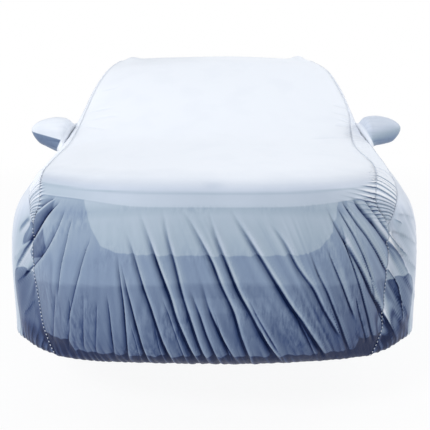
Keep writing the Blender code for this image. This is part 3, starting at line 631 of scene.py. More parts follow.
# The cloth's names, each with its roughness, the depth of its crinkles and its dark zones' tone,
# which is painted shade in part.
CLOTHS = {
    "cloth_centre": (0.42, 0.16, 0.24),
    "cloth_side":   (0.44, 0.14, 0.35),
    "cloth_gusset": (0.46, 0.20, 0.00),
    "cloth_pocket": (0.40, 0.14, 0.55),
}
SPECULAR, SHEEN, SHEEN_ROUGHNESS = 0.14, 0.03, 0.35
CRINKLE = {"Scale": 70.0, "Detail": 5.0, "Roughness": 0.60}
CRINKLE_DRAWN = (1.0, 1.0, 0.28)     # how the crinkles are drawn out
CRINKLE_TURN = -18.0     # and by how many degrees they lean
CRINKLE_SPAN = (0.30, 0.70)          # the part of the noise that counts
CRINKLE_PAINTED_LIGHT_AND_SHADE = 0.11      # how light and dark a crinkle is painted, as its light and shade
CRINKLE_GLOSS = (-0.05, 0.06)        # what it adds to the roughness
PATCHES = {"Scale": 6.0, "Detail": 3.0}      # the places where the cloth is more crinkled
PATCH_CREASED = (0.46, 0.64, 0.15, 1.0)
PATCH_DRIFT = (0.25, 0.75, -0.012, 0.012)    # and their slow change of tone
WEAVE_SCALE = 220.0
# Strength and depth of the weave's relief, of the crinkles' depth and of the sharp lines'.
WEAVE_BUMP = (0.12, 0.0004)
CRINKLE_BUMP = 0.004
LINE_BUMP = (0.40, 0.004)
THREAD_TONES = ((0.0, (0.66, 0.70, 0.78)), (1.0, (0.90, 0.92, 0.95)))
THREAD_TWIST = 160.0
THREAD_ROUGHNESS = 0.55


# ---------------------------------------------------------------- tables: stage and flat sizes

FLOOR_SIZE = 30.0
FLOOR_GLOW = 9.0         # the floor fades to plain white at this distance
FLOOR_LEAST = 0.90       # how much of it is plain white beside the cover
FLOOR_NEAR = 0.75        # where that starts to grow, from 0 at the distance to 1 in the middle
FLOOR_TONES = ((0.0, (0.92, 0.92, 0.93)), (1.0, (0.95, 0.95, 0.96)))
FLOOR_GRAIN = 3.0
FLOOR_ROUGHNESS = 0.9
LIGHTS = (
    # name        x     y      z     size  power   look at
    ("key",      -4.6, -7.6,   3.6,  2.2,  300.0,  (0.0, -2.4, -0.9)),
    ("overhead",  0.0, -0.5,   5.5,  5.0,  50.0,   (0.0, -0.5, 0.0)),
    ("fill",      5.0, -7.0,   2.2,  4.0,  42.0,   (0.0, -2.4, -0.9)),
    ("rear",      1.5,  7.0,   3.0,  4.0,  30.0,   (0.0, 1.0, -0.6)),
    ("left",     -6.5,  0.5,   2.6,  4.0,  110.0,  (0.0, 0.0, -0.6)),
    ("right",     6.5,  0.3,   2.6,  4.0,  185.0,  (0.0, 0.0, -0.6)),
)
WORLD_COLOUR = (0.93, 0.96, 1.0, 1.0)        # of the soft light from all round
WORLD_LIGHT = 0.50
WHITE = (1.0, 1.0, 1.0, 1.0)
SENSOR = 36.0
PHOTO_PIXELS, FOCAL_PIXELS = 430.0, 747.0    # width of the photograph, and its focal length
CAMERA_PLACE = (0.0, -5.51, -0.178)
CAMERA_FALL = 9.97       # degrees that the camera looks down


# ---------------------------------------------------------------- curves through the tables

def curve(knots, values):
    """A smooth curve through a table's points, as a function of any number of places."""
    knots = np.asarray(knots, float)
    values = np.asarray(values, float)
    slopes = np.gradient(values, knots)

    def value(at):
        at = np.clip(at, knots[0], knots[-1])
        i = np.clip(np.searchsorted(knots, at) - 1, 0, len(knots) - 2)
        span = knots[i + 1] - knots[i]
        u = (at - knots[i]) / span
        start = (1.0 + 2.0 * u) * (1.0 - u) ** 2 * values[i]
        end = u * u * (3.0 - 2.0 * u) * values[i + 1]
        bend = u * (1.0 - u) * ((1.0 - u) * slopes[i] - u * slopes[i + 1]) * span
        return start + end + bend

    return value


def ramp(value, start, end):
    """0 before start, 1 after end, and an eased step between them."""
    u = np.clip((value - start) / (end - start), 0.0, 1.0)
    return u * u * (3.0 - 2.0 * u)


def bump(value, width):
    """1 at nothing, falling to 0 on both sides."""
    return np.exp(-(value / width) ** 2)


def between(value, start, full, falling, end):
    """1 from full to falling, eased to 0 before start and after end."""
    return ramp(value, start, full) * (1.0 - ramp(value, falling, end))


def along_table(table, at):
    """Second column of a table at places along its first one, straight from row to row."""
    return np.interp(at, *zip(*table))


def section_stations():
    """Distance of each section along the middle of the centre panel."""
    stations = {CENTRE_SECTIONS[0][0]: 0.0}
    total = 0.0
    for before, after in zip(CENTRE_SECTIONS, CENTRE_SECTIONS[1:]):
        total += math.dist(before[1:3], after[1:3])
        stations[after[0]] = total
    return stations


STATION = section_stations()
KNOTS = list(STATION.values())
SECTION = [curve(KNOTS, [row[c] for row in CENTRE_SECTIONS]) for c in range(1, 7)]
GUSSET_KNOTS = [STATION[GUSSET_ENDS[0]]]
GUSSET_KNOTS += [STATION[row[0]] for row in GUSSET_SECTIONS]
GUSSET_KNOTS += [STATION[GUSSET_ENDS[1]]]
GUSSET = [
    curve(GUSSET_KNOTS, [0.0] + [row[c] for row in GUSSET_SECTIONS] + [0.0])
    for c in range(1, 5)
]
BODY, HEM = (curve(*np.array(PLAN).T[[0, c]]) for c in (1, 2))
LEAN_IN = curve(*np.array(TUMBLE).T)
RUCHE_KNOTS = [STATION[row[0]] for row in RUCHES]
RUCHE_HEIGHT, RUCHE_REACH, GUSSET_TONE, RUCHE_CONTRAST = (
    curve(RUCHE_KNOTS, [row[c] for row in RUCHES]) for c in range(1, 5)
)
TIP, HEEL = STATION["corner_tip"], STATION["rear_corner"]


def point(x, y, z):
    """Places from their three coordinates."""
    return np.stack(np.broadcast_arrays(x, y, z), axis=-1)


def inner_seam(side, at):
    """Edge of the centre panel."""
    _, _, edge_y, edge_z, left, right = (column(at) for column in SECTION)
    return point(-left if side < 0 else right, edge_y, edge_z)


def outer_seam(side, at):
    """Edge of the side panel, which is the centre panel's too where no gusset lies between."""
    left, right, back, drop = (column(at) for column in GUSSET)
    return inner_seam(side, at) + point(side * (left if side < 0 else right), back, -drop)


# ---------------------------------------------------------------- the taut shape

def centre_taut(across, at):
    """Centre panel: across runs from -1 at the left seam to 1 at the right one."""
    y, z, edge_y, edge_z, left, right = (column(at) for column in SECTION)
    reach = np.minimum(np.abs(across), 1.0)
    return point(
        across * np.where(across < 0.0, left, right),
        y + (edge_y - y) * reach ** SWEEP_POWER,
        z + (edge_z - z) * reach ** DROP_POWER,
    )


def body_half_width(y, z):
    """Distance of the side from the middle where nothing pulls on the cloth."""
    return BODY(y) - LEAN_IN(z)


def hem_point(side, along):
    """Side hem, from the front corner at 0 to the rear corner at 1."""
    front = outer_seam(side, STATION["front_hem"])
    rear = outer_seam(side, STATION["rear_hem"])
    y = front[1] + (rear[1] - front[1]) * along
    near_front, near_rear = (1.0 - along) ** END_PULL, along ** END_PULL
    x = HEM(y) + near_front * (abs(front[0]) - PLAN[0][2])
    x += near_rear * (abs(rear[0]) - PLAN[-1][2])
    z = SIDE_HEM_Z + near_front * (front[2] - SIDE_HEM_Z) + near_rear * (rear[2] - SIDE_HEM_Z)
    return point(side * x, y, z)


def tuck_step(side, along):
    """Step from the side hem to the edge of the cloth turned in under it."""
    front = outer_seam(side, STATION["front_tuck"]) - outer_seam(side, STATION["front_hem"])
    rear = outer_seam(side, STATION["rear_tuck"]) - outer_seam(side, STATION["rear_hem"])
    near_front = ((1.0 - along) ** TUCK_PULL)[..., None]
    near_rear = (along ** TUCK_PULL)[..., None]
    plain = np.array((-side * SIDE_TUCK[0], 0.0, SIDE_TUCK[1]))
    return plain * (1.0 - near_front - near_rear) + front * near_front + rear * near_rear


def side_taut(side, at, up):
    """Side panel: at is a station of the long seam, up runs from 0 at the hem to 1 at the seam,
    and from 0 to -1 where the cloth turns in under the hem."""
    under = np.clip(-up, 0.0, 1.0)
    up = np.clip(up, 0.0, 1.0)
    top = outer_seam(side, at)
    tip, heel = outer_seam(side, TIP), outer_seam(side, HEEL)
    along = np.clip((top[..., 1] - tip[1]) / (heel[1] - tip[1]), 0.0, 1.0)
    low = hem_point(side, along)
    front_hem, rear_hem = STATION["front_hem"], STATION["rear_hem"]
    front = outer_seam(side, front_hem + (TIP - front_hem) * up)
    rear = outer_seam(side, rear_hem + (HEEL - rear_hem) * up)
    front_low, rear_low = hem_point(side, np.zeros(1))[0], hem_point(side, np.ones(1))[0]

    y, z = (
        (1.0 - up) * low[..., c] + up * top[..., c]
        + (1.0 - along) * (front[..., c] - (1.0 - up) * front_low[c] - up * tip[c])
        + along * (rear[..., c] - (1.0 - up) * rear_low[c] - up * heel[c])
        for c in (1, 2)
    )

    def pull(place):
        return np.abs(place[..., 0]) - body_half_width(place[..., 1], place[..., 2])

    deep, high = (1.0 - up) ** HEM_PULL, up ** SEAM_PULL
    near_front, near_rear = (1.0 - along) ** END_PULL, along ** END_PULL
    width = body_half_width(y, z) + deep * pull(low) + high * pull(top)
    width += near_front * (pull(front) - deep * pull(front_low) - high * pull(tip))
    width += near_rear * (pull(rear) - deep * pull(rear_low) - high * pull(heel))
    return point(side * width, y, z) + tuck_step(side, along) * under[..., None]


def gusset_taut(side, across, at):
    """Gusset: across is 0 at the centre panel's seam and 1 at the side panel's."""
    inner, outer = inner_seam(side, at), outer_seam(side, at)
    width = np.linalg.norm(outer - inner, axis=-1)
    puff = GUSSET_PUFF * np.minimum(width / GUSSET_WIDE, 1.0) * 4.0 * across * (1.0 - across)
    away = np.array(GUSSET_AWAY) * np.array((side, 1.0, 1.0))
    away /= np.linalg.norm(away)
    return inner + (outer - inner) * across[..., None] + away * puff[..., None]


def normals(taut, a, b, step_a, step_b):
    """Outward direction of a taut shape at each of its places."""
    along_a = taut(a + step_a, b) - taut(a - step_a, b)
    along_b = taut(a, b + step_b) - taut(a, b - step_b)
    normal = np.cross(along_a, along_b)
    length = np.linalg.norm(normal, axis=-1, keepdims=True)
    return normal / np.maximum(length, 1e-12)


# ---------------------------------------------------------------- folds

def fold_relief(off, width):
    """Height across a fold of depth 1: its valley, a crest right of it and a flatter one left."""
    flank = np.where(off < 0.0, LEFT_FLANK, RIGHT_FLANK)
    tip = FOLD_TIP / width
    rounded = np.sqrt(off ** 2 + tip ** 2) - tip
    right = np.maximum(off, 0.0) / CREST_AT
    left = np.maximum(-off, 0.0)
    crest = CREST * right * np.exp(1.0 - right) + LEFT_CREST * left * np.exp(1.0 - left)
    return crest - VALLEY * np.exp(-rounded / flank)


def fold_lines(a, b, table):
    """Relief and painted soft light and shade of a table of folds at each place, and its sharp
    lines' marks.

    The folds are dealt into sets in turn. A set's mark tells how far right of its nearest fold a
    place lies, in widths of that fold, and how strong the fold is there.
    """
    relief, tone = np.zeros_like(a), np.zeros_like(a)
    marks = np.zeros((FOLD_SETS, 2) + a.shape)
    stray, stray_length = FOLD_WANDER
    level, uneven, uneven_length = FOLD_UNEVEN
    narrow, full = FOLD_NARROW
    before, start, later = FOLD_START
    in_turn = sorted(table, key=lambda row: row[0] + row[2])
    for number, (start_a, start_b, end_a, end_b, bow, depth, width) in enumerate(in_turn):
        run_a, run_b = end_a - start_a, end_b - start_b
        length = math.hypot(run_a, run_b)
        along = ((a - start_a) * run_a + (b - start_b) * run_b) / length ** 2
        off = ((b - start_b) * run_a - (a - start_a) * run_b) / length
        off = off - bow * 4.0 * along * (1.0 - along)
        off = off - stray * wander(along * length, stray_length, SEED["fold_line"] + number)
        off = off / (width * (narrow + (1.0 - narrow) * ramp(along, 0.0, full)))

        sets_in = np.interp(abs(start_a), LINE_START_X, LINE_START)
        fade = ramp(along, before, start + later * sets_in)
        fade = fade * ramp(FOLD_END[0] - along, 0.0, FOLD_END[1])
        chance = wander(along * length, uneven_length, SEED["fold_strength"] + number)
        fade = fade * (level + uneven * chance)
        relief += depth * fade * fold_relief(off, width)

        strength = fade * depth / DEEPEST
        # Painted light and shade beside the fold, part of its soft tone.
        tone += strength * sum(
            amount * bump(off - right, reach) for amount, right, reach in FOLD_PAINTED_LIGHT_AND_SHADE)
        # Its sharp line is drawn as painted shade in the valley and a painted highlight beside it.
        near = strength * ramp(along, 0.0, sets_in) * (1.0 - ramp(np.abs(off), *LINE_REACH))
        mark = marks[number % FOLD_SETS]
        nearer = near > mark[1]
        mark[0] = np.where(nearer, off, mark[0])
        mark[1] = np.where(nearer, near, mark[1])
    return relief, tone, marks


def stronger(marks, others):
    """Of two panels' worth of marks, the stronger one at each place."""
    wins = (others[:, 1] > marks[:, 1])[:, None]
    return np.where(wins, others, marks)


def wander(at, scale, seed):
    """Smooth chance value between -1 and 1 along a line."""
    values = np.random.default_rng(seed).uniform(-1.0, 1.0, WANDER_VALUES)
    place = np.mod(at / scale, WANDER_VALUES - 1.0)
    i = np.floor(place).astype(int)
    u = place - i
    u = u * u * (3.0 - 2.0 * u)
    return values[i] * (1.0 - u) + values[i + 1] * u


def fan_source(x, z):
    """Where along the lip a streak starts that passes a place of the front."""
    down = (FAN_TOP_Z - z) / (FAN_TOP_Z - FAN_LOW_Z)
    start = x
    for _ in range(FAN_TRIES):
        start = x - down * (along_table(FAN, start) - start)
    return start, down


def streaks(x, z):
    """Fine folds that follow the fan of the large ones: their relief and their painted light and
    shade.
    """
    start, down = fan_source(x, z)
    length, unlike = STREAKS_LAST
    lasting = 0.5 + 0.5 * wander(down + unlike * start, length, SEED["streak_length"])
    relief, tone = np.zeros_like(x), np.zeros_like(x)
    for spacing, height, strength, seed in STREAKS:
        here = wander(start + STREAK_SHIFT, spacing, seed)
        beside = wander(start + STREAK_SHIFT + STREAK_SHADE * spacing, spacing, seed)
        relief += height * here * lasting
        # Painted light where a streak's flank faces left, painted shade where it faces right.
        tone += strength * (beside - here) * lasting
    least, more, *right = STREAK_SHARE
    share = ramp(down, 0.0, STREAK_START) * (least + more * ramp(x, *right))
    return relief * share, tone * share


def pleat_phase(run, pitch, seed):
    """Uneven count of the pleats along a run."""
    phase = run / pitch
    stray, length = PLEAT_UNEVEN
    return phase + stray * wander(phase, length, seed)


def each_pleat(phase, seed):
    """A chance value between -1 and 1 for each pleat."""
    return wander(np.floor(phase) * PLEAT_PICK, 1.0, seed)


def pleat_crests(phase, seed):
    """Rounded crests from 0 to 1 between sharp valleys, one each time the phase grows by 1."""
    level, uneven = PLEAT_HEIGHT
    height = level + uneven * each_pleat(phase, seed)
    return np.abs(np.sin(math.pi * phase)) ** PLEAT_POWER * height


def slack(place):
    """Slow unevenness of the whole cover."""
    return sum(
        height * np.sin(place @ np.array(turns) + shift) for height, turns, shift in SLACK_WAVES)


def rails(place):
    """How far the roof rails lift the cloth."""
    x, y = place[..., 0], place[..., 1]
    height = np.where(x < 0.0, RAIL_HEIGHTS[-1], RAIL_HEIGHTS[1])
    return height * between(y, *RAIL_SPAN_Y) * bump(np.abs(x) - RAIL_X, RAIL_WIDTH)


def seam_puff(distance):
    """How the cloth rises on both sides of a seam, which leaves the seam in a groove."""
    height, width = SEAM_PUFF
    return height * (1.0 - np.exp(-distance / width))


# ---------------------------------------------------------------- tones

def within(x, z, corners):
    """Distance inside a convex outline given by its corners in turn, below 0 outside it."""
    inside = np.full_like(x, FAR)
    for (x0, z0), (x1, z1) in zip(corners, corners[1:] + corners[:1]):
        run_x, run_z = x1 - x0, z1 - z0
        off = ((z - z0) * run_x - (x - x0) * run_z) / math.hypot(run_x, run_z)
        inside = np.minimum(inside, off)
    return inside


def hollow_zone(place):
    """Distance inside the hollows beside the left corner's ridges, which get painted shade, below 0
    outside them.
    """
    x, y, z = place[..., 0], place[..., 1], place[..., 2]
    inside = np.max([within(x, z, corners) for corners in HOLLOWS], axis=0)
    return np.where(y < FRONT_FOLDS_END_Y[0], inside, NOWHERE)


def front_tone(x, z):
    """Tone of the front's dark part: painted shade, and the dark car beneath seen through the thin
    cloth.
    """
    tone = along_table(FRONT_TONES, z + LEVEL_FALL * x * x)
    left, right, bottom, top = PALE_PATCH
    patch = between(x, left, left + PALE_EDGE, right - PALE_EDGE, right)
    patch = patch * between(z, bottom, bottom + PALE_EDGE, top - PALE_TOP_EDGE, top)
    amount, across, up = LOWER_RIGHT
    return tone - PALE_TONE * patch + amount * ramp(x, *across) * (1.0 - ramp(z, *up))


def lip_rise(x, at):
    """How far the lip's lines stand above the middle's at each place, along the cloth."""
    rise = np.where(x < 0.0, LIP_RISE[-1], LIP_RISE[1]) * ramp(np.abs(x), *LIP_RISE_X)
    below = ramp(STATION["lip_top"] - at, *LIP_LOWER)
    return rise * (UPPER_RISE + (1.0 - UPPER_RISE) * below)


def centre_tone(place, at):
    """Tone of the centre panel: the lip's lines and the front below them, in part painted shade,
    and the rear.
    """
    x, z = place[..., 0], place[..., 2]
    at = at - lip_rise(x, at)
    tone = along_table(LIP_TONES, at - STATION["lip_top"])
    darker, *corner = LIP_CORNER
    tone = tone * (1.0 + darker * ramp(-x, *corner))
    share = 1.0 - ramp(at, STATION["lip_low"] - LIP_EDGE, STATION["lip_low"] + LIP_EDGE)
    tone = tone * (1.0 - share) + (front_tone(x, z) - LIP_STEP) * share
    rear = ramp(at, STATION["spoiler"], STATION["rear_low"])
    pale, lower, up = REAR_TONE
    return tone * (1.0 - rear) + rear * (pale + lower * (1.0 - ramp(z, *up)))


def side_tone(side, place):
    """Tone of a side panel: darker low down, and most at its front corner, in painted shade."""
    y, z = place[..., 1], place[..., 2]
    tone = SIDE_TONE
    for amount, (along, up) in (
        (CORNER_TONE[side], CORNER_TONE_ENDS), (CORNER_FOOT[side], CORNER_FOOT_ENDS),
    ):
        tone = tone + amount * (1.0 - ramp(y, *along)) * (1.0 - ramp(z, *up))
    return tone + sum(amount * (1.0 - ramp(z, *up)) for amount, up in SIDE_SHADES)


def side_patch(side, place):
    """Distance inside the dark patch of painted shade round a side panel's front corner."""
    end_y, top_z = SIDE_PATCH[side]
    ahead = np.maximum(PATCH_ROUND - (end_y - place[..., 1]), 0.0)
    below = np.maximum(PATCH_ROUND - (top_z - place[..., 2]), 0.0)
    return PATCH_ROUND - np.hypot(ahead, below)


# ---------------------------------------------------------------- each panel's surface

def seam_edge(distance):
    """How much of a fold is left at a distance from a seam."""
    return ramp(distance, 0.0, SEAM_EASE)


def corner_directions():
    """Shared direction of the two panels' cloth along each corner seam, by station."""
    directions = {}
    hem = STATION["front_hem"]
    at = np.linspace(STATION["front_tuck"], TIP, CORNER_STATIONS)
    up = np.clip((at - hem) / (TIP - hem), JUST_INSIDE, 1.0 - JUST_INSIDE)
    for side in SIDE_NAMES:
        across = np.full_like(at, side * CORNER_ACROSS)
        front = normals(centre_taut, across, at, *STEPS["centre"])
        beside = np.full_like(at, TIP + CORNER_BEHIND)
        flank = normals(partial(side_taut, side), beside, up, *STEPS["side"]) * -side
        shared = front + flank
        directions[side] = (at, shared / np.linalg.norm(shared, axis=-1, keepdims=True))
    return directions


CORNER = corner_directions()


def corner_turned(side, at, normal, distance):
    """Turns a panel's outward directions into the shared one as they near its corner seam."""
    knots, shared = CORNER[side]
    wanted = np.stack([np.interp(at, knots, shared[:, c]) for c in range(3)], axis=-1)
    share = np.exp(-distance / CORNER_TURN) * (1.0 - ramp(at, TIP - CORNER_TURN_END, TIP))
    turned = normal * (1.0 - share[..., None]) + wanted * share[..., None]
    return turned / np.linalg.norm(turned, axis=-1, keepdims=True)


def surface_of(place, normal, lift, shade, flat, **special):
    """What a mesh laid on a surface needs at each place; zones and marks only where given."""
    nowhere = np.full_like(shade, NOWHERE)
    surface = {
        "place": place, "normal": normal, "lift": lift, "shade": shade, "flat": flat,
        "light_zone": nowhere, "dark_zone": nowhere, "lip_zone": nowhere,
        "marks": np.zeros((FOLD_SETS, 2) + shade.shape),
    }
    surface.update(special)
    return surface


def front_folds(place):
    """Folds and streaks of the front at each place: relief, painted soft light and shade, marks and
    their share.
    """
    x, y, z = place[..., 0], place[..., 1], place[..., 2]
    relief, tone, marks = fold_lines(x, z, FRONT_FOLDS)
    fine, fine_tone = streaks(x, z)
    share = (1.0 - ramp(y, *FRONT_FOLDS_END_Y)) * between(z, *FRONT_FOLDS_END_Z)
    marks[:, 1] *= share
    return (relief + fine) * share, (tone + fine_tone) * share, marks, share


def hem_puckers(run, up_from_hem, seed):
    """Gathers of the elastic hem: their relief, painted light and shade, phase and strength."""
    fade = np.exp(-np.maximum(up_from_hem, 0.0) / HEM_REACH)
    phase = pleat_phase(run + HEM_LEAN * up_from_hem, HEM_PITCH, seed)
    crest = fade * (pleat_crests(phase, seed + 1) - HEM_MIDDLE)
    width, depth, dark = CASING_LINE
    line = bump(up_from_hem - CASING, width)
    relief, tone = HEM_HEIGHT * crest - depth * line, HEM_PAINTED_LIGHT_AND_SHADE * crest - dark * line
    return relief, tone, phase, HEM_CONTRAST * fade


def ruche_phase(side, at, outwards):
    """Count of the ruches, a distance outwards of the centre panel's seam."""
    slant = np.where(outwards < 0.0, INNER_SLANT, RUCHE_SLANT)
    pitch = np.where(side < 0, RUCHE_PITCH[-1], RUCHE_PITCH[1])
    return pleat_phase(at + slant * outwards, pitch, SEED["ruches"])


def ruche_lift(panel, at, phase):
    """Height of a panel's ruches."""
    share, middle = RUCHE_RISE[panel]
    return share * RUCHE_HEIGHT(at) * (pleat_crests(phase, SEED["ruche_crests"]) - middle)


def ruche_share(side, at, from_seam):
    """How much of the ruches is left in the centre panel, at a distance from its long seam."""
    before, after, late = RUCHE_SPAN
    end = STATION[GUSSET_ENDS[1]]
    gathered = between(at, TIP - before, TIP + after, end - late, end)
    level, uneven, length = RUCHE_UNEVEN
    reach = RUCHE_REACH(at) * np.where(side < 0, LEFT_REACH, 1.0)
    reach = reach * (level + uneven * wander(at, length, SEED["ruche_reach"]))
    return np.exp(-(from_seam / reach) ** RUCHE_END) * gathered


def soft_shade(shade, tone, seen):
    """A shade with the folds' painted soft light and shade on it, as strong as the shade that is
    seen there.
    """
    return shade - TONE_STRENGTH * tone * (TONE_FLOOR + seen)


def screen_folds(place, at, edge):
    """Soft folds of the windscreen: their relief, painted light and shade, and marks."""
    relief, tone, marks = fold_lines(place[..., 0], place[..., 1], SCREEN_FOLDS)
    share = ramp(at, STATION["bonnet_rear"], STATION["screen_base"]) * edge
    share = share * (1.0 - ramp(at, STATION["screen_high"], STATION["roof_front"]))
    lines, soft = SOFT_LINES["screen"]
    marks[:, 1] *= lines * share
    return relief * share, soft * tone * share, marks


def centre_zones(place, at, tone):
    """Distances inside the light field, inside the dark band or hollows, and below the lip."""
    x, z = place[..., 0], place[..., 2]
    height, fall, scallop, pitch, corner = HEM_BAND
    phase = pleat_phase(x + SCALLOP_SLANT * z, pitch, SEED["scallops"])
    scallops = pleat_crests(phase, SEED["scallop_crests"]) - HEM_MIDDLE
    edge_z = height - fall * x * x + scallop * scallops
    edge_z = edge_z + corner * ramp(np.abs(x), *HEM_BAND_CORNER)
    band = np.where(at < STATION["bumper_top"], edge_z - z, NOWHERE)
    below_lip = STATION["lip_low"] - (at - lip_rise(x, at))
    field = np.minimum(within(x, z, LIGHT_FIELD) + FIELD_SHIFT * tone, below_lip)
    return field, np.maximum(band, hollow_zone(place)), below_lip


def centre_normals(side, across, at, place, from_seam):
    """Outward directions of the centre panel, and distances from the nearer corner's tip."""
    normal = normals(centre_taut, across, at, *STEPS["centre"])
    from_tip = np.full_like(at, FAR)
    for one in SIDE_NAMES:
        here = (side == one)[..., None]
        normal = np.where(here, corner_turned(one, at, normal, from_seam), normal)
        from_tip = np.minimum(from_tip, np.linalg.norm(place - outer_seam(one, TIP), axis=-1))
    return normal, from_tip


def centre_surface(across, at):
    """Everything about the centre panel at a set of places."""
    low = 1.0 - ramp(at, STATION["front_hem"], STATION["lip_top"])
    across = across + LEAN * low * (1.0 - across * across)
    place = centre_taut(across, at)
    side = np.where(across < 0.0, -1, 1)
    from_seam = (1.0 - np.abs(across)) * np.where(across < 0.0, SECTION[4](at), SECTION[5](at))
    normal, from_tip = centre_normals(side, across, at, place, from_seam)

    edge = seam_edge(from_seam)
    crossing = np.where(at < TIP, ramp(from_tip, *TIP_EASE), 0.0)
    folded = 1.0 - (1.0 - edge) * (1.0 - crossing)
    relief, tone, marks, share = front_folds(place)
    marks[:, 1] *= folded
    soft, soft_tone, soft_marks = screen_folds(place, at, edge)
    lift = (slack(place) + relief) * folded + rails(place) * edge + soft
    tone = tone + soft_tone

    ruched = ruche_share(side, at, from_seam)
    phase = ruche_phase(side, at, -from_seam)
    lift = lift + ruche_lift("centre", at, phase) * ruched * edge
    tone = tone * (1.0 - RUCHE_CALM * ruched)
    marks[:, 1] *= 1.0 - ruched
    strength = ruched * RUCHE_CONTRAST(at)
    hems = {"front_hem": at - STATION["front_hem"], "rear_hem": STATION["rear_hem"] - at}
    for hem, up in hems.items():
        pucker, pucker_tone, hem_phase, hem_strength = hem_puckers(place[..., 0], up, SEED[hem])
        lift = lift + pucker * edge
        tone = tone + pucker_tone
        phase = np.where(hem_strength > strength, hem_phase, phase)
        strength = np.maximum(strength, hem_strength)

    near = np.linalg.norm(place - np.array(DIMPLE), axis=-1) / DIMPLE_RADIUS
    lift = lift + seam_puff(from_seam) - DIMPLE_DEPTH * bump(near, 1.0)
    shade = centre_tone(place, at) + DIMPLE_PAINTED_SHADE[0] * bump(near, DIMPLE_PAINTED_SHADE[1])
    field, dark, below_lip = centre_zones(place, at, tone)
    calm, calm_depth = SLACK_FIELD
    crinkled = np.clip(share * SLACK["centre"][1] + SLACK["centre"][0], 0.0, 1.0)
    return surface_of(
        place, normal, lift, soft_shade(shade, tone, shade),
        point(across * FLAT["centre"], at, 0.0)[..., :2],
        slack=crinkled * (1.0 - calm * ramp(field, 0.0, calm_depth)),
        light_zone=field, dark_zone=dark, lip_zone=below_lip, from_seam=from_seam,
        pleat_phase=phase, pleat_strength=strength, marks=stronger(marks, soft_marks),
    )


def side_distances(side, place, at, up):
    """Distances from a side panel's long seam and from its corner seams, and the front corner's
    station beside each place."""
    above = np.clip(up, 0.0, 1.0)
    hem, rear_hem = STATION["front_hem"], STATION["rear_hem"]
    seam_at = hem + (TIP - hem) * above
    heel_at = rear_hem + (HEEL - rear_hem) * above
    from_top, from_corner, from_heel = (
        np.linalg.norm(outer_seam(side, seam) - place, axis=-1) for seam in (at, seam_at, heel_at)
    )
    from_corner = np.where(up < 0.0, place[..., 1] - outer_seam(side, hem)[1], from_corner)
    return from_top, from_corner, from_heel, np.where(up < 0.0, hem, seam_at)


def side_surface(side, at, up):
    """Everything about a side panel at a set of places."""
    place = side_taut(side, at, up)
    y, z = place[..., 1], place[..., 2]
    inside = np.clip(at, TIP + SIDE_INSIDE, HEEL - SIDE_INSIDE)
    limit = 1.0 - JUST_INSIDE
    taut = partial(side_taut, side)
    normal = normals(taut, inside, np.clip(up, -limit, limit), *STEPS["side"]) * -side
    from_top, from_corner, from_heel, corner_at = side_distances(side, place, at, up)
    from_seam = np.minimum(np.minimum(from_top, from_corner), from_heel)
    normal = corner_turned(side, corner_at, normal, from_corner)

    folded = ramp(from_top, *TIP_EASE) * seam_edge(from_heel)
    own = seam_edge(from_corner) * folded
    relief, tone, marks, share = front_folds(place)
    reach, more = CROSSING
    crossing = folded * (1.0 + more * np.exp(-(from_corner / reach) ** 2))
    marks[:, 1] *= crossing
    sunk, soft_tone, soft_marks = fold_lines(y, z, SIDE_FOLDS[side])
    lines, soft = SOFT_LINES["side"]
    soft_marks[:, 1] *= lines * own
    up_from_hem = np.clip(up, 0.0, 1.0) * FLAT["side"]
    pucker, pucker_tone, phase, strength = hem_puckers(y, up_from_hem, SEED["side_hem"] + side)
    height, pitch, width, contrast = GATHERS
    gather = pleat_phase(at, pitch, SEED["gathers"])
    run = np.exp(-from_top / width)
    crests = pleat_crests(gather, SEED["gather_crests"]) - 0.5
    lift = (slack(place) + relief) * folded + (sunk + pucker) * own
    lift = lift + height * run * crests * seam_edge(from_top) + seam_puff(from_seam)

    patch = np.maximum(side_patch(side, place) + FIELD_SHIFT * tone, hollow_zone(place))
    tone = tone * crossing + soft * soft_tone * own + pucker_tone
    shade = side_tone(side, place)
    inked, edge = PATCH_TONE
    return surface_of(
        place, normal, lift, soft_shade(shade, tone, shade + inked * ramp(patch, -edge, edge)),
        point(at, up * FLAT["side"], 0.0)[..., :2],
        slack=SLACK["side"][0] + SLACK["side"][1] * share, dark_zone=patch, from_seam=from_seam,
        pleat_phase=np.where(run > strength, gather, phase),
        pleat_strength=np.maximum(strength, contrast * run), marks=stronger(marks, soft_marks),
    )


def gusset_surface(side, across, at):
    """Everything about a gusset at a set of places."""
    place = gusset_taut(side, across, at)
    taut = partial(gusset_taut, side)
    normal = normals(taut, np.clip(across, *GUSSET_INSIDE), at, *STEPS["gusset"]) * side
    width = np.linalg.norm(outer_seam(side, at) - inner_seam(side, at), axis=-1)
    phase = ruche_phase(side, at, width * across)
    held = ramp(across * width, 0.0, RUCHE_HELD) * ramp((1.0 - across) * width, 0.0, RUCHE_HELD)
    edge = np.minimum(across, 1.0 - across) * width
    level, uneven = GUSSET_CONTRAST
    contrast = level + uneven * each_pleat(phase, SEED["ruche_contrast"])
    return surface_of(
        place, normal, ruche_lift("gusset", at, phase) * held + seam_puff(edge), GUSSET_TONE(at),
        point(across * FLAT["gusset"], at, 0.0)[..., :2], slack=np.full_like(at, SLACK["gusset"]),
        from_seam=edge, pleat_phase=phase, pleat_strength=RUCHE_CONTRAST(at) * contrast,
    )


# ---------------------------------------------------------------- meshes from flat patterns

def grid(columns, rows):
    """Flat pattern in cells: x from 0 to columns, y from 0 to rows."""
    pattern = bmesh.new()
    bmesh.ops.create_grid(pattern, x_segments=columns, y_segments=rows, size=0.5)
    for vert in pattern.verts:
        vert.co = Vector(((vert.co.x + 0.5) * columns, (vert.co.y + 0.5) * rows, 0.0))
    return pattern


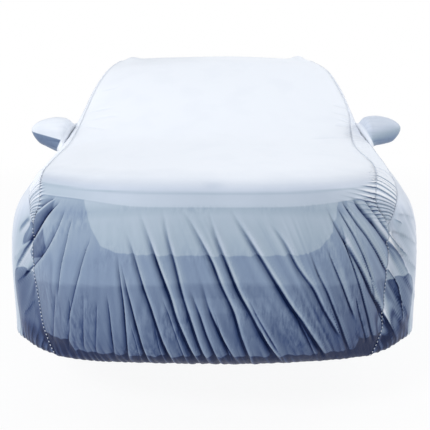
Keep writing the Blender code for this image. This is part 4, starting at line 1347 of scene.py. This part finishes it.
def seam_rows(first, last):
    """Stations of the mesh's rows between two sections."""
    rows = [STATION[first]]
    taking = False
    for start, end, length in ROW_SPANS:
        taking = taking or start == first
        if taking:
            count = round((STATION[end] - STATION[start]) / length)
            rows += list(np.linspace(STATION[start], STATION[end], count + 1)[1:])
        if end == last:
            break
    return np.array(rows)


def mesh_of(pattern, name):
    """Turns a pattern into a mesh and frees it; gives the mesh and its places in the pattern."""
    mesh = bpy.data.meshes.new(name)
    pattern.to_mesh(mesh)
    pattern.free()
    places = np.empty(len(mesh.vertices) * 3)
    mesh.vertices.foreach_get("co", places)
    return mesh, places.reshape(-1, 3)


def lay(mesh, surface):
    """Moves a pattern's mesh onto its surface, with its tones and its flat coordinates."""
    place = surface["place"] + surface["normal"] * surface["lift"][..., None] - np.array(ORIGIN)
    mesh.vertices.foreach_set("co", place.ravel())
    values = {name: surface[name] for name in POINT_VALUES}
    for number, (off, strength) in enumerate(surface["marks"]):
        values[f"fold_off_{number}"] = off
        values[f"fold_strength_{number}"] = strength
    for name, value in values.items():
        layer = mesh.attributes.new(name, "FLOAT", "POINT")
        layer.data.foreach_set("value", value.astype(np.float32))
    loops = np.empty(len(mesh.loops), dtype=np.int32)
    mesh.loops.foreach_get("vertex_index", loops)
    flat = mesh.uv_layers.new(name="flat")
    flat.data.foreach_set("uv", surface["flat"][loops].astype(np.float32).ravel())
    mesh.update()


def in_scene(name, data):
    """Object of the scene for a mesh, a light or a camera."""
    item = bpy.data.objects.new(name, data)
    bpy.context.scene.collection.objects.link(item)
    return item


def face_outwards(mesh, wanted):
    """Turns a mesh's faces if most of them look against the wanted direction of each vertex."""
    facing = np.empty(len(mesh.vertices) * 3)
    mesh.vertex_normals.foreach_get("vector", facing)
    if np.sum(facing.reshape(-1, 3) * wanted) < 0.0:
        mesh.flip_normals()


def cloth_piece(name, mesh, surface, material):
    """Lays a flat pattern's mesh on its surface and makes it cloth with a thickness."""
    lay(mesh, surface)
    face_outwards(mesh, surface["normal"])
    mesh.shade_smooth()
    mesh.materials.append(material)
    piece = in_scene(name, mesh)
    thick = piece.modifiers.new("thickness", "SOLIDIFY")
    thick.thickness = CLOTH
    thick.offset = -1.0
    return piece


def centre_cloth(material):
    """The centre panel, cut finer across where the front is folded."""
    rows = seam_rows("front_tuck", "rear_tuck")
    pattern = grid(CENTRE_COLUMNS, len(rows) - 1)
    last_fine = int(np.searchsorted(rows, STATION["lip_top"] - 1e-6))
    crossing = [
        edge for edge in pattern.edges
        if abs(edge.verts[0].co.y - edge.verts[1].co.y) < 1e-4
        and edge.verts[0].co.y < last_fine + 0.5
    ]
    bmesh.ops.subdivide_edges(pattern, edges=crossing, cuts=FRONT_CUTS, use_grid_fill=True)
    mesh, cells = mesh_of(pattern, "centre_cloth")
    at = np.interp(cells[:, 1], np.arange(len(rows)), rows)
    surface = centre_surface(cells[:, 0] / CENTRE_COLUMNS * 2.0 - 1.0, at)
    return cloth_piece("centre_cloth", mesh, surface, material)


def side_rows():
    """Heights of a side panel's rows, 0 at the hem and 1 at the long seam, and those under it."""
    rows = seam_rows("front_hem", "corner_tip")
    rows = (rows - rows[0]) / (rows[-1] - rows[0])
    return np.concatenate((np.linspace(-1.0, 0.0, SIDE_ROWS_UNDER + 1)[:-1], rows))


def side_frame(side):
    """Stations, heights and the hole's first and last column and first row of a side panel."""
    columns, rows = seam_rows("corner_tip", "rear_corner"), side_rows()
    seam_y = outer_seam(side, columns)[:, 1]
    first, last = (int(np.argmin(np.abs(seam_y - y))) for y in POCKET_HOLE_Y)
    low = int(np.argmin(np.abs(rows - POCKET_HOLE_UP[side])))
    return columns, rows, first, last, low


def round_hole(at, up, ends, low):
    """Heights up a side panel, drawn up round the lower corners of the pocket's hole."""
    across = np.abs(2.0 * (at - ends[0]) / (ends[1] - ends[0]) - 1.0)
    down = (1.0 - up) / (1.0 - low)
    share = ramp(across, *POCKET_HOLE_CORNER) * (1.0 - ramp(across, *POCKET_HOLE_BESIDE))
    share = POCKET_HOLE_RISE * share * (1.0 - ramp(down, *POCKET_HOLE_BELOW))
    return 1.0 - (1.0 - up) * (1.0 - share)


def side_cloth(side, material):
    """A side panel with the hole that its mirror pocket is sewn into."""
    columns, rows, first, last, low = side_frame(side)
    pattern = grid(len(columns) - 1, len(rows) - 1)
    hole = [
        face for face in pattern.faces
        if first < face.calc_center_median().x < last and face.calc_center_median().y > low
    ]
    bmesh.ops.delete(pattern, geom=hole, context="FACES")
    name = f"side_cloth_{SIDE_NAMES[side]}"
    mesh, cells = mesh_of(pattern, name)
    at = np.interp(cells[:, 0], np.arange(len(columns)), columns)
    up = np.interp(cells[:, 1], np.arange(len(rows)), rows)
    up = round_hole(at, up, columns[[first, last]], rows[low])
    return cloth_piece(name, mesh, side_surface(side, at, up), material)


def gusset_cloth(side, material):
    """A gathered gusset between the centre panel's long seam and a side panel's."""
    first, last = (STATION[name] for name in GUSSET_ENDS)
    count = round((last - first) / GUSSET_ROW)
    name = f"gusset_cloth_{SIDE_NAMES[side]}"
    mesh, cells = mesh_of(grid(GUSSET_COLUMNS, count), name)
    at = first + GUSSET_END + (last - first - 2.0 * GUSSET_END) * cells[:, 1] / count
    return cloth_piece(name, mesh, gusset_surface(side, cells[:, 0] / GUSSET_COLUMNS, at), material)


# ---------------------------------------------------------------- mirror pockets

def pocket_root(side):
    """Points round the hole in a side panel: forwards along its bottom, up, and back on top."""
    columns, rows, first, last, low = side_frame(side)
    top = len(rows) - 1
    corners = [(c, low) for c in range(first, last)]
    corners += [(last, r) for r in range(low, top)]
    corners += [(c, top) for c in range(last, first, -1)]
    corners += [(first, r) for r in range(top, low, -1)]
    at = columns[[c for c, _ in corners]]
    up = round_hole(at, rows[[r for _, r in corners]], columns[[first, last]], rows[low])
    surface = side_surface(side, at, up)
    return surface["place"] + surface["normal"] * surface["lift"][:, None]


def ring_points(ring, turns, flat):
    """A pocket's ring at the given angles; a ring with a tilt leans out at its bottom."""
    x, y, z, half_y, half_z, tilt = ring
    power = POCKET_SQUARENESS
    reach = (np.abs(np.cos(turns)) ** power + np.abs(np.sin(turns)) ** power) ** (-1.0 / power)
    rise = half_z * reach * np.sin(turns)
    rise = np.where(rise < 0.0, rise * (1.0 - flat), rise)
    return point(x - tilt * rise, y + half_y * reach * np.cos(turns), z + rise)


def pocket_rings(side):
    """A pocket's rings of points: the hole's edge, then each ring with as many points."""
    root = pocket_root(side)
    middle = (root.max(axis=0) + root.min(axis=0)) / 2.0
    raw = np.unwrap(np.arctan2(root[:, 2] - middle[2], root[:, 1] - middle[1]))
    even = np.sign(raw[-1] - raw[0]) * np.arange(len(root)) * 2.0 * math.pi / len(root)
    turns = np.mean(raw - even) + even
    out, up = POCKET_SHIFTS[side]
    rings = [root]
    for number, ring in enumerate(POCKET_RINGS):
        flat = POCKET_FLAT[side] * max(1.0 - number / POCKET_FLAT_RINGS, 0.0)
        shape = ring_points(ring, turns, flat)
        rings.append(shape * np.array((side, 1.0, 1.0)) + np.array((side * out, 0.0, up)))
    return np.array(rings)


def pocket_pattern(count, rows):
    """A circle of points drawn out row by row and closed by a point in the last row's middle."""
    pattern = bmesh.new()
    bmesh.ops.create_circle(pattern, segments=count, radius=1.0)
    edges = pattern.edges[:]
    for _ in range(rows):
        made = bmesh.ops.extrude_edge_only(pattern, edges=edges)["geom"]
        edges = [
            item for item in made
            if isinstance(item, bmesh.types.BMEdge) and item.is_boundary
        ]
    tip = bmesh.ops.contextual_create(pattern, geom=edges)["faces"]
    bmesh.ops.poke(pattern, faces=tip)
    return pattern


def pocket_surface(side):
    """Everything about a pocket at the points of its rows and at its tip; the count of a row."""
    rings = pocket_rings(side)
    count = rings.shape[1]
    rows = np.arange(len(POCKET_RINGS) * POCKET_ROWS + 1) / POCKET_ROWS
    columns = rings.reshape(len(rings), -1).T
    drawn = np.array([curve(np.arange(len(rings)), column)(rows) for column in columns]).T
    drawn = drawn.reshape(-1, 3)
    tip = drawn[-count:].mean(axis=0) + np.array((side * POCKET_TIP, 0.0, 0.0))
    place = np.vstack((drawn, tip))
    row_of = np.append(np.repeat(rows, count), rows[-1])

    middle = np.array(POCKET_MIDDLE) * np.array((side, 1.0, 1.0))
    away = place - middle
    normal = away / np.maximum(np.linalg.norm(away, axis=-1, keepdims=True), 1e-9)
    turn = np.arctan2(place[:, 2] - middle[2], place[:, 1] - POCKET_TURN_Y)
    pucker = pleat_phase(turn * POCKET_PUCKERS, 1.0, SEED["pocket_puckers"])
    height, start, last = POCKET_PUCKER
    near_root = np.exp(-row_of / last) * ramp(row_of, 0.0, start)
    lift = height * near_root * (pleat_crests(pucker, SEED["pocket_crests"]) - 0.5)
    # Painted light on the pocket's top and painted shade on its underside, below a crease.
    crease_z, rise = POCKET_CREASE
    level = place[:, 2] - (crease_z + rise * (np.abs(place[:, 0]) - POCKET_RINGS[0][0]))
    pale, deep, sharp = POCKET_PAINTED_LIGHT_AND_SHADE[side]
    before, after = POCKET_LINE_EDGE
    outside = ramp(row_of, POCKET_LINE - before, POCKET_LINE + after)
    shade = (pale + (deep - pale) * (1.0 - ramp(level, *POCKET_SHADE_EDGE))) * outside
    across, along = FLAT["pocket"]
    return count, surface_of(
        place, normal, lift, shade, np.stack((turn * across, row_of * along), axis=-1),
        slack=np.full_like(row_of, SLACK["pocket"]),
        from_seam=np.abs(row_of - POCKET_LINE) * along,
        dark_zone=np.where((row_of > POCKET_LINE) & sharp, -level, NOWHERE),
        pleat_phase=pucker, pleat_strength=POCKET_CONTRAST * near_root * outside,
    )


def pocket_cloth(side, material):
    """The bag over a mirror, sewn into the hole of a side panel."""
    count, surface = pocket_surface(side)
    name = f"pocket_cloth_{SIDE_NAMES[side]}"
    mesh, _ = mesh_of(pocket_pattern(count, len(POCKET_RINGS) * POCKET_ROWS), name)
    return cloth_piece(name, mesh, surface, material)


# ---------------------------------------------------------------- seam threads

def spaced(points, pitch):
    """Points at an even pitch along a line, and its direction at each."""
    steps = np.linalg.norm(np.diff(points, axis=0), axis=1)
    run = np.concatenate(([0.0], np.cumsum(steps)))
    wanted = np.arange(pitch / 2.0, run[-1], pitch)
    places, ahead, behind = (
        np.stack([np.interp(wanted + shift, run, points[:, c]) for c in range(3)], axis=-1)
        for shift in (0.0, STITCH_AIM, -STITCH_AIM)
    )
    return places, ahead - behind


def add_stitches(threads, points, pitch, length, width):
    """Adds one row of stitches along a line of points."""
    for place, direction in zip(*spaced(points, pitch)):
        along = Vector(direction).normalized()
        away = (place - np.array(COVER_MIDDLE)) * np.array(STAND_SHARES)
        across = along.cross(Vector(away).normalized()).normalized()
        out = across.cross(along)
        turn = Matrix((along, across, out)).transposed().to_4x4()
        size = Matrix.Diagonal((length / 2.0, width / 2.0, width * STITCH_HEIGHT, 1.0))
        shift = Matrix.Translation(Vector(place) + out * STITCH_STAND - Vector(ORIGIN))
        bmesh.ops.create_icosphere(
            threads, subdivisions=1, radius=1.0, matrix=shift @ turn @ size)


def seam_threads(side, material):
    """The stitches along the seams of one side, the corners' laid on the folded cloth."""
    threads = bmesh.new()
    before, after = STITCH_ENDS
    for line, first, last, pitch, length, width in STITCHES:
        at = np.arange(STATION[first] + before, STATION[last] - after, STITCH_STEP)
        if line == "corner":
            laid = centre_surface(np.full_like(at, side), at)
            seam = laid["place"] + laid["normal"] * laid["lift"][:, None]
        else:
            seam = outer_seam(side, at) if line == "outer" else inner_seam(side, at)
        add_stitches(threads, seam, pitch, length, width)
    root = pocket_root(side)
    add_stitches(threads, np.vstack((root, root[:1])), *POCKET_STITCHES)
    name = f"seam_threads_{SIDE_NAMES[side]}"
    mesh, _ = mesh_of(threads, name)
    mesh.shade_smooth()
    mesh.materials.append(material)
    return in_scene(name, mesh)


# ---------------------------------------------------------------- materials

def linear(colour):
    """An sRGB colour as the renderer's linear one."""
    return tuple(
        ((part + 0.055) / 1.055) ** 2.4 if part > 0.04045 else part / 12.92 for part in colour)


def fill(tree, node, values):
    """Sets a node's inputs: a socket is linked to one, and a number or a colour is its value."""
    for name, value in values.items():
        if isinstance(value, bpy.types.NodeSocket):
            tree.links.new(value, node.inputs[name])
        else:
            node.inputs[name].default_value = value


def added(tree, kind, values=None):
    """A new node of a kind with its inputs set."""
    node = tree.nodes.new(f"ShaderNode{kind}")
    fill(tree, node, values or {})
    return node


def attribute(tree, name):
    """One of the values that the mesh holds at each point."""
    node = added(tree, "Attribute")
    node.attribute_name = name
    return node.outputs["Fac"]


def worked_out(tree, operation, *values):
    """A sum, a product or the like of sockets and numbers."""
    node = added(tree, "Math")
    node.operation = operation
    fill(tree, node, dict(enumerate(values)))
    return node.outputs["Value"]


def ranged(tree, value, start, end, low=0.0, high=1.0, eased=True):
    """A value moved from one range into another, and kept in it."""
    node = added(tree, "MapRange", {
        "Value": value, "From Min": start, "From Max": end, "To Min": low, "To Max": high,
    })
    node.interpolation_type = "SMOOTHSTEP" if eased else "LINEAR"
    return node.outputs["Result"]


def coloured(tree, value, stops):
    """A value run through a table of places and linear colours."""
    node = added(tree, "ValToRGB", {"Fac": value})
    marks = node.color_ramp.elements
    for mark, (where, colour) in zip((marks[0], marks[1]), (stops[0], stops[-1])):
        mark.position = where
        mark.color = (*colour, 1.0)
    for where, colour in stops[1:-1]:
        marks.new(where).color = (*colour, 1.0)
    return node.outputs["Color"]


def profile(tree, value, table):
    """A value run through a table of greys, less the plain grey."""
    greys = coloured(tree, value, [(where, (grey, grey, grey)) for where, grey in table])
    return worked_out(tree, "SUBTRACT", greys, PLAIN_GREY)


def sharp_lines(tree):
    """Painted shade (above 0) and painted highlight (below 0) of the folds' sharp lines and of the
    pleats.
    """
    first, last = FOLD_LINE[0][0], FOLD_LINE[-1][0]
    stops = [((where - first) / (last - first), grey) for where, grey in FOLD_LINE]
    total = 0.0
    for number in range(FOLD_SETS):
        off = ranged(tree, attribute(tree, f"fold_off_{number}"), first, last, eased=False)
        strength = attribute(tree, f"fold_strength_{number}")
        total = worked_out(tree, "MULTIPLY_ADD", profile(tree, off, stops), strength, total)
    way = worked_out(tree, "FRACT", attribute(tree, "pleat_phase"))
    strength = attribute(tree, "pleat_strength")
    return worked_out(tree, "MULTIPLY_ADD", profile(tree, way, PLEAT_LINE), strength, total)


def crinkles(tree):
    """The small crinkles of the thin cloth, the patches they lie in and how far they show."""
    place = added(tree, "TexCoord").outputs["Object"]
    drawn = added(tree, "Mapping", {
        "Vector": place, "Scale": CRINKLE_DRAWN,
        "Rotation": (0.0, math.radians(CRINKLE_TURN), 0.0),
    }).outputs["Vector"]
    crinkle = added(tree, "TexNoise", {"Vector": drawn, **CRINKLE}).outputs["Fac"]
    patches = added(tree, "TexNoise", {"Vector": place, **PATCHES}).outputs["Fac"]
    creased = ranged(tree, patches, *PATCH_CREASED)
    return crinkle, patches, worked_out(tree, "MULTIPLY", creased, attribute(tree, "slack"))


def cloth_tone(tree, crinkle, patches, creased, lines, dark_step):
    """Tone of the cloth: its shade and zones, with the painted light and shade of crinkles and
    sharp lines and the seams' painted shade on it.
    """
    tone = attribute(tree, "shade")
    steps = {"light_zone": LIGHT_STEP, "dark_zone": dark_step, "lip_zone": LIP_STEP}
    for zone, step in steps.items():
        inside = ranged(tree, attribute(tree, zone), -ZONE_EDGE, ZONE_EDGE, 0.0, step)
        tone = worked_out(tree, "ADD", tone, inside)
    # Painted light and shade of the crinkles.
    uneven = ranged(tree, crinkle, *CRINKLE_SPAN, CRINKLE_PAINTED_LIGHT_AND_SHADE, -CRINKLE_PAINTED_LIGHT_AND_SHADE)
    uneven = worked_out(tree, "MULTIPLY", uneven, creased)
    marked = worked_out(tree, "MULTIPLY_ADD", uneven, attribute(tree, "slack"), lines)
    strength = worked_out(
        tree, "MULTIPLY_ADD", tone, LINE_STRENGTH, LINE_STRENGTH * TONE_FLOOR)
    tone = worked_out(tree, "MULTIPLY_ADD", marked, strength, tone)
    # Painted shade in the seams' grooves.
    width, dark = SEAM_LINE
    seam = ranged(tree, attribute(tree, "from_seam"), 0.0, width, dark, 0.0)
    tone = worked_out(tree, "ADD", tone, seam)
    return worked_out(tree, "ADD", tone, ranged(tree, patches, *PATCH_DRIFT))


def weave(tree):
    """Height of the crossed threads, which follow the flat cloth."""
    flat = added(tree, "UVMap")
    flat.uv_map = "flat"
    ways = []
    for turn in (0.0, 90.0):
        lie = added(tree, "Mapping", {
            "Vector": flat.outputs["UV"], "Rotation": (0.0, 0.0, math.radians(turn)),
        }).outputs["Vector"]
        wave = added(tree, "TexWave", {"Vector": lie, "Scale": WEAVE_SCALE, "Distortion": 0.0})
        ways.append(wave.outputs["Fac"])
    return worked_out(tree, "MULTIPLY", *ways)


def raised(tree, heights):
    """Outward direction with the relief of each height, its strength and depth on it."""
    beneath = {}
    for height, strength, depth, sunk in heights:
        node = added(tree, "Bump", {
            "Height": height, "Strength": strength, "Distance": depth, **beneath,
        })
        node.invert = sunk
        beneath = {"Normal": node.outputs["Normal"]}
    return beneath


def shader_of(name):
    """A new material with its tree and its shader."""
    material = bpy.data.materials.new(name)
    material.use_nodes = True
    return material, material.node_tree, material.node_tree.nodes["Principled BSDF"]


def cloth_material(name):
    """Thin coated polyester: its tone, its weave and its crinkles."""
    roughness, wrinkle, dark_step = CLOTHS[name]
    material, tree, shader = shader_of(name)
    crinkle, patches, creased = crinkles(tree)
    lines = sharp_lines(tree)
    tone = cloth_tone(tree, crinkle, patches, creased, lines, dark_step)
    tones = [(where, linear(colour)) for where, colour in CLOTH_TONES]
    gloss = (roughness + change for change in CRINKLE_GLOSS)
    depth = worked_out(tree, "MULTIPLY", crinkle, creased)
    fill(tree, shader, {
        "Specular IOR Level": SPECULAR, "Sheen Weight": SHEEN, "Sheen Roughness": SHEEN_ROUGHNESS,
        "Base Color": coloured(tree, tone, tones),
        "Roughness": ranged(tree, crinkle, *CRINKLE_SPAN, *gloss),
        **raised(tree, (
            (weave(tree), *WEAVE_BUMP, False), (depth, wrinkle, CRINKLE_BUMP, False),
            (lines, *LINE_BUMP, True),
        )),
    })
    return material


def thread_material():
    """Pale twisted thread."""
    material, tree, shader = shader_of("seam_thread")
    place = added(tree, "TexCoord").outputs["Object"]
    twist = added(tree, "TexNoise", {"Vector": place, "Scale": THREAD_TWIST}).outputs["Fac"]
    tones = [(where, linear(colour)) for where, colour in THREAD_TONES]
    fill(tree, shader, {"Roughness": THREAD_ROUGHNESS, "Base Color": coloured(tree, twist, tones)})
    return material


def floor_material():
    """Pale floor that fades to plain white far from the cover."""
    material, tree, shader = shader_of("pale_floor")
    place = added(tree, "TexCoord").outputs["Object"]
    grain = added(tree, "TexNoise", {"Vector": place, "Scale": FLOOR_GRAIN}).outputs["Fac"]
    fill(tree, shader, {
        "Roughness": FLOOR_ROUGHNESS, "Base Color": coloured(tree, grain, FLOOR_TONES),
    })
    reach = added(tree, "Mapping", {
        "Vector": place, "Scale": (1.0 / FLOOR_GLOW, 1.0 / FLOOR_GLOW, 0.0),
    }).outputs["Vector"]
    near = added(tree, "TexGradient", {"Vector": reach})
    near.gradient_type = "SPHERICAL"
    far = ranged(tree, near.outputs["Fac"], FLOOR_NEAR, 0.0, FLOOR_LEAST, 1.0)
    white = added(tree, "Emission").outputs["Emission"]
    blend = added(tree, "MixShader", {"Fac": far, 1: shader.outputs["BSDF"], 2: white})
    fill(tree, tree.nodes["Material Output"], {"Surface": blend.outputs["Shader"]})
    return material


# ---------------------------------------------------------------- stage, light and camera

def aim(item, target):
    """Turns a light towards a place."""
    away = Vector(target) - item.location
    item.rotation_euler = away.to_track_quat("-Z", "Y").to_euler()


def build_floor():
    """The floor the cover hangs down to."""
    pattern = bmesh.new()
    bmesh.ops.create_grid(pattern, x_segments=2, y_segments=2, size=FLOOR_SIZE)
    bmesh.ops.translate(pattern, verts=pattern.verts, vec=(0.0, 0.0, -ORIGIN[2]))
    mesh, _ = mesh_of(pattern, "floor")
    mesh.materials.append(floor_material())
    in_scene("floor", mesh)


def build_lights():
    """The lamps, and a soft light from all round that the camera sees as plain white."""
    for name, x, y, z, size, power, target in LIGHTS:
        light = bpy.data.lights.new(name, "AREA")
        light.shape = "SQUARE"
        light.size = size
        light.energy = power
        item = in_scene(name, light)
        item.location = (x, y, z)
        aim(item, target)

    world = bpy.data.worlds.new("studio")
    bpy.context.scene.world = world
    world.use_nodes = True
    tree = world.node_tree
    soft = tree.nodes["Background"]
    fill(tree, soft, {"Color": WORLD_COLOUR, "Strength": WORLD_LIGHT})
    seen = added(tree, "Background", {"Color": WHITE, "Strength": 1.0})
    blend = added(tree, "MixShader", {
        "Fac": added(tree, "LightPath").outputs["Is Camera Ray"],
        1: soft.outputs["Background"], 2: seen.outputs["Background"],
    })
    fill(tree, tree.nodes["World Output"], {"Surface": blend.outputs["Shader"]})


def build_camera():
    """The camera low in front of the cover."""
    camera = bpy.data.cameras.new("camera")
    camera.sensor_width = SENSOR
    camera.lens = FOCAL_PIXELS / PHOTO_PIXELS * SENSOR
    item = in_scene("camera", camera)
    item.location = CAMERA_PLACE
    item.rotation_euler = (math.radians(90.0 - CAMERA_FALL), 0.0, 0.0)
    bpy.context.scene.camera = item
    bpy.context.scene.view_settings.view_transform = "Standard"


# ---------------------------------------------------------------- the dressed cover

def main():
    """Makes and places every piece, then the stage."""
    centre, sides, gussets, pockets = (cloth_material(name) for name in CLOTHS)
    thread = thread_material()

    piece = centre_cloth(centre)
    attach(piece, "root")
    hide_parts("centre_panel")
    for side, name in SIDE_NAMES.items():
        piece = side_cloth(side, sides)
        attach(piece, "root")
        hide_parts(f"side_panel_{name}")
        piece = gusset_cloth(side, gussets)
        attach(piece, "root")
        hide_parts(f"gusset_{name}")
        piece = pocket_cloth(side, pockets)
        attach(piece, "root")
        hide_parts(f"mirror_pocket_{name}")
        piece = seam_threads(side, thread)
        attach(piece, "root")
    build_floor()
    build_lights()
    build_camera()


main()
